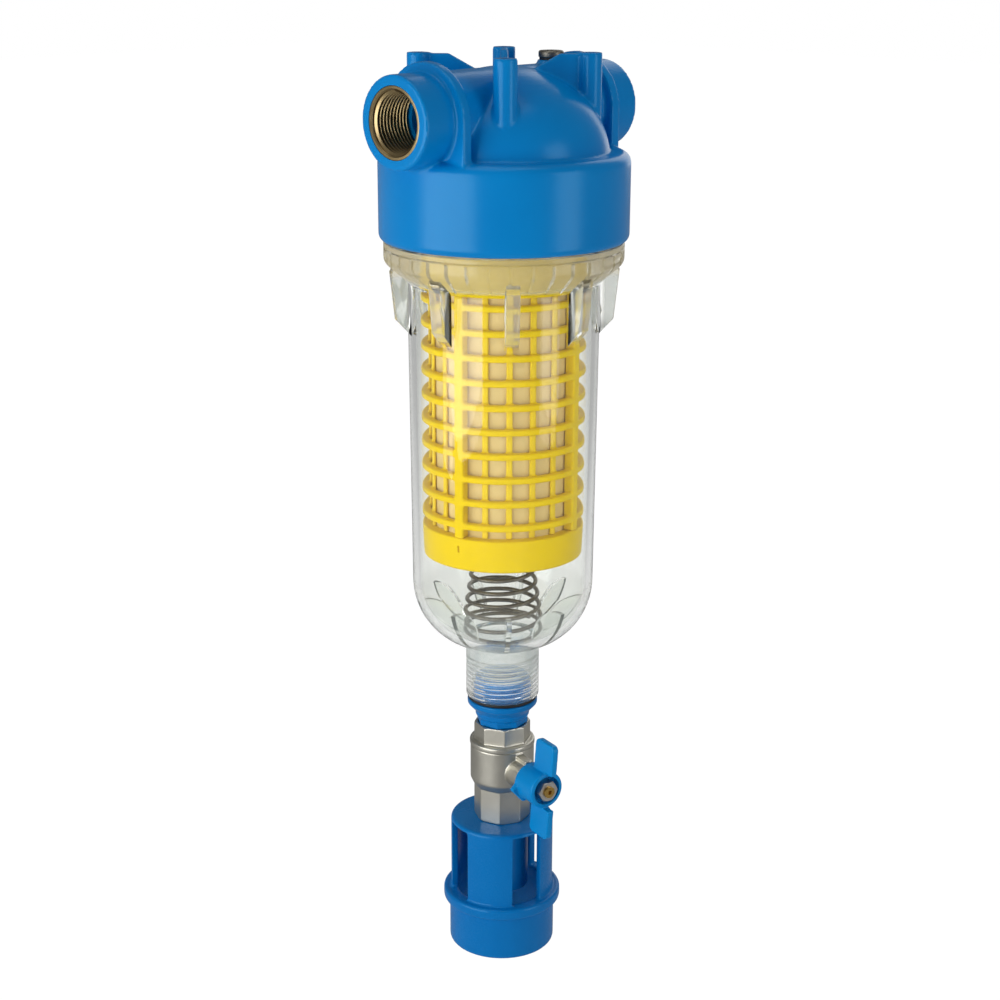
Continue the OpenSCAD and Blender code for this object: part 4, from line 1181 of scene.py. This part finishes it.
# %% Tundish
TUNDISH_TOP = -330.2
CAGE_END = -367.2
STOP_FOOT = -372.7
DRAIN_FOOT = -394.7
WINDOW_TURN = -3
WINDOWS = 4
WINDOW_HALF = 7.3
ROOF_FOOT = TUNDISH_TOP - 3
INLET_R = 10.35
INLET_TOP = TUNDISH_TOP + 9
TUNDISH_R = 24.3
TUNDISH_IN_R = 21.3
STOP_R = 27.9
SPOUT_R = 25
SPOUT_IN_R = 22
NOZZLE_R = 12.5
NOZZLE_IN_R = 9.5
NOZZLE_FOOT = CAGE_END + 1


def tundish():
    shell = lathe("windowed_tundish", rounded([
        (DRAIN_R, INLET_TOP), (INLET_R, INLET_TOP, 0.4), (INLET_R, TUNDISH_TOP), (TUNDISH_R, TUNDISH_TOP, 1.5),
        (TUNDISH_R, CAGE_END, 0.8), (STOP_R, CAGE_END, 1.2), (STOP_R, STOP_FOOT, 1.2),
        (SPOUT_R, STOP_FOOT, 0.6), (SPOUT_R, DRAIN_FOOT, 1.2), (SPOUT_IN_R, DRAIN_FOOT, 0.6),
        (SPOUT_IN_R, STOP_FOOT), (TUNDISH_IN_R, CAGE_END), (TUNDISH_IN_R, ROOF_FOOT, 1), (NOZZLE_R, ROOF_FOOT),
        (NOZZLE_R, NOZZLE_FOOT, 0.5), (NOZZLE_IN_R, NOZZLE_FOOT, 0.5), (NOZZLE_IN_R, ROOF_FOOT),
        (DRAIN_R, ROOF_FOOT)], 6), 160)
    window = block("window", (NOZZLE_R + 0.6, -WINDOW_HALF, CAGE_END), (36, WINDOW_HALF, TUNDISH_TOP - 2), 0.6)
    carve(shell, copies(window, WINDOWS, WINDOW_TURN - 90))
    mould(shell, 0.58, 2)
    smooth(turn_drain(shell), 50)
    dress(shell, "tundish", "bowl", "drain_plastic")


tundish()

# %% [markdown]
# ## Inner pieces
#
# Seals, seats, the ball, the stem and the core tube lie inside and keep the shapes of their
# solids. They still get real finishes, because a pose can open the view to them.

# %% Finishes of the inner pieces
INNER = {
    "vent_seal": "black_rubber", "bowl_seal": "black_rubber", "stem_seals": "black_rubber",
    "spigot_seal": "black_rubber", "upper_seat": "white_seat", "lower_seat": "white_seat",
    "ball": "ball_chrome", "stem": "stem_brass", "core_tube": "cage_plastic",
}
for node, slot in INNER.items():
    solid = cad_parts[node]
    solid.data.materials.clear()
    solid.data.materials.append(FINISH_OF_SLOT[slot])
print("inner pieces:", len(INNER))

# %% [markdown]
# ## Studio
#
# The photograph is a cut-out on white: a large soft lamp from the left, a weaker one from the
# right, and white behind. The world and the floor are white for the camera. What the glass shows
# is darker at each side, as black cards give a clear bowl its outline, and the floor that the
# plastics mirror is dim, so that their blue stays deep.

# %% Camera
CAMERA_AT = Vector((-583.1, -563.1, 54.3)) * MM
AIM = Vector((0.6868, 0.6633, -0.2974))
ROLL = radians(-0.2)
LENS = 67.32
SHIFT = -0.003

bpy.ops.object.camera_add(location=CAMERA_AT)
camera = bpy.context.object
right = AIM.cross(Vector((0, 0, 1))).normalized()
down = AIM.cross(right).normalized()
across = right * cos(ROLL) + down * sin(ROLL)
below = down * cos(ROLL) - right * sin(ROLL)
look = Matrix((across, -below, -AIM)).transposed().to_quaternion()
camera.matrix_world = Matrix.LocRotScale(CAMERA_AT, look, None)
camera.data.lens = LENS
camera.data.sensor_width = 36
camera.data.shift_x = SHIFT
camera.data.clip_start = 0.01
bpy.context.scene.camera = camera

# %% Lamps
MIDDLE = Vector((0, 0, -0.2))
toward = -Vector((AIM.x, AIM.y, 0)).normalized()


def lamp(name, side, front, height, size, power):
    """A soft lamp beside the camera's line, aimed at the middle of the filter."""
    place_at = MIDDLE + right * side + toward * front + Vector((0, 0, height))
    bpy.ops.object.light_add(type="AREA", location=place_at)
    light = bpy.context.object
    light.name = name
    light.data.shape = "RECTANGLE"
    light.data.size, light.data.size_y = size
    light.data.energy = power
    light.rotation_euler = (MIDDLE - place_at).to_track_quat("-Z", "Y").to_euler()


lamp("key", -0.74, 0.6, -0.12, (0.9, 1.1), 10.0)
lamp("fill", 0.8, 0.5, 0.1, (0.4, 0.9), 2.4)
lamp("top", -0.1, 0.1, 1.0, (0.7, 0.7), 1.6)
lamp("back", 0.35, -0.8, 0.4, (0.5, 0.8), 1.2)

# %% World and floor
world = bpy.data.worlds.new("studio")
bpy.context.scene.world = world
w = Finish("studio", world, "Generated")
kinds = ("Camera", "Glossy", "Transmission")
path = {kind: w.add("ShaderNodeLightPath", output=f"Is {kind} Ray") for kind in kinds}
cards = w.band(w.off_line(right), 0.7, 0.98)
level = 0.25 + path["Camera"] * 0.75 - path["Glossy"] * 0.1 + path["Transmission"] * (0.75 - 0.6 * cards)
sky = w.add("ShaderNodeBackground", None, {"Color": (1, 1, 1, 1), "Strength": level})
w.add("ShaderNodeOutputWorld", None, {"Surface": sky})

FLOOR_DROP = 0.06
FLOOR_GLOW = 1.06
DIM_GLOW = 0.15
fresh()
bpy.ops.mesh.primitive_plane_add(size=12, location=(0, 0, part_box("tundish")[0].z - FLOOR_DROP))
floor = bpy.context.object
floor.name = "floor"
g = Finish("floor_white")
grey = g.noise(3, 2)
pale = g.blend(grey, (0.9, 0.9, 0.9, 1), (0.92, 0.92, 0.92, 1))
ground = g.add("ShaderNodeBsdfDiffuse", None, {"Color": pale})
rays = {kind: g.add("ShaderNodeLightPath", output=f"Is {kind} Ray") for kind in kinds}
wings = g.band(g.off_line(right), 0.2, 0.7)
bright = g.add("ShaderNodeEmission", None, {"Color": (1, 1, 1, 1), "Strength": FLOOR_GLOW})
dim = g.add("ShaderNodeEmission", None, {"Color": (1, 1, 1, 1), "Strength": DIM_GLOW})
mirrored = rays["Glossy"] * (1 - rays["Transmission"])
dark_share = rays["Transmission"] * (0.06 + 0.55 * wings) + mirrored * 0.9
glow = g.add("ShaderNodeMixShader", None, {0: dark_share, 1: bright, 2: dim})
direct = (rays["Camera"] + rays["Transmission"] + mirrored) * 0.95
floor.data.materials.append(g.surface(g.add("ShaderNodeMixShader", None, {0: direct, 1: ground, 2: glow})))

scene = bpy.context.scene
scene.view_settings.view_transform = "Standard"
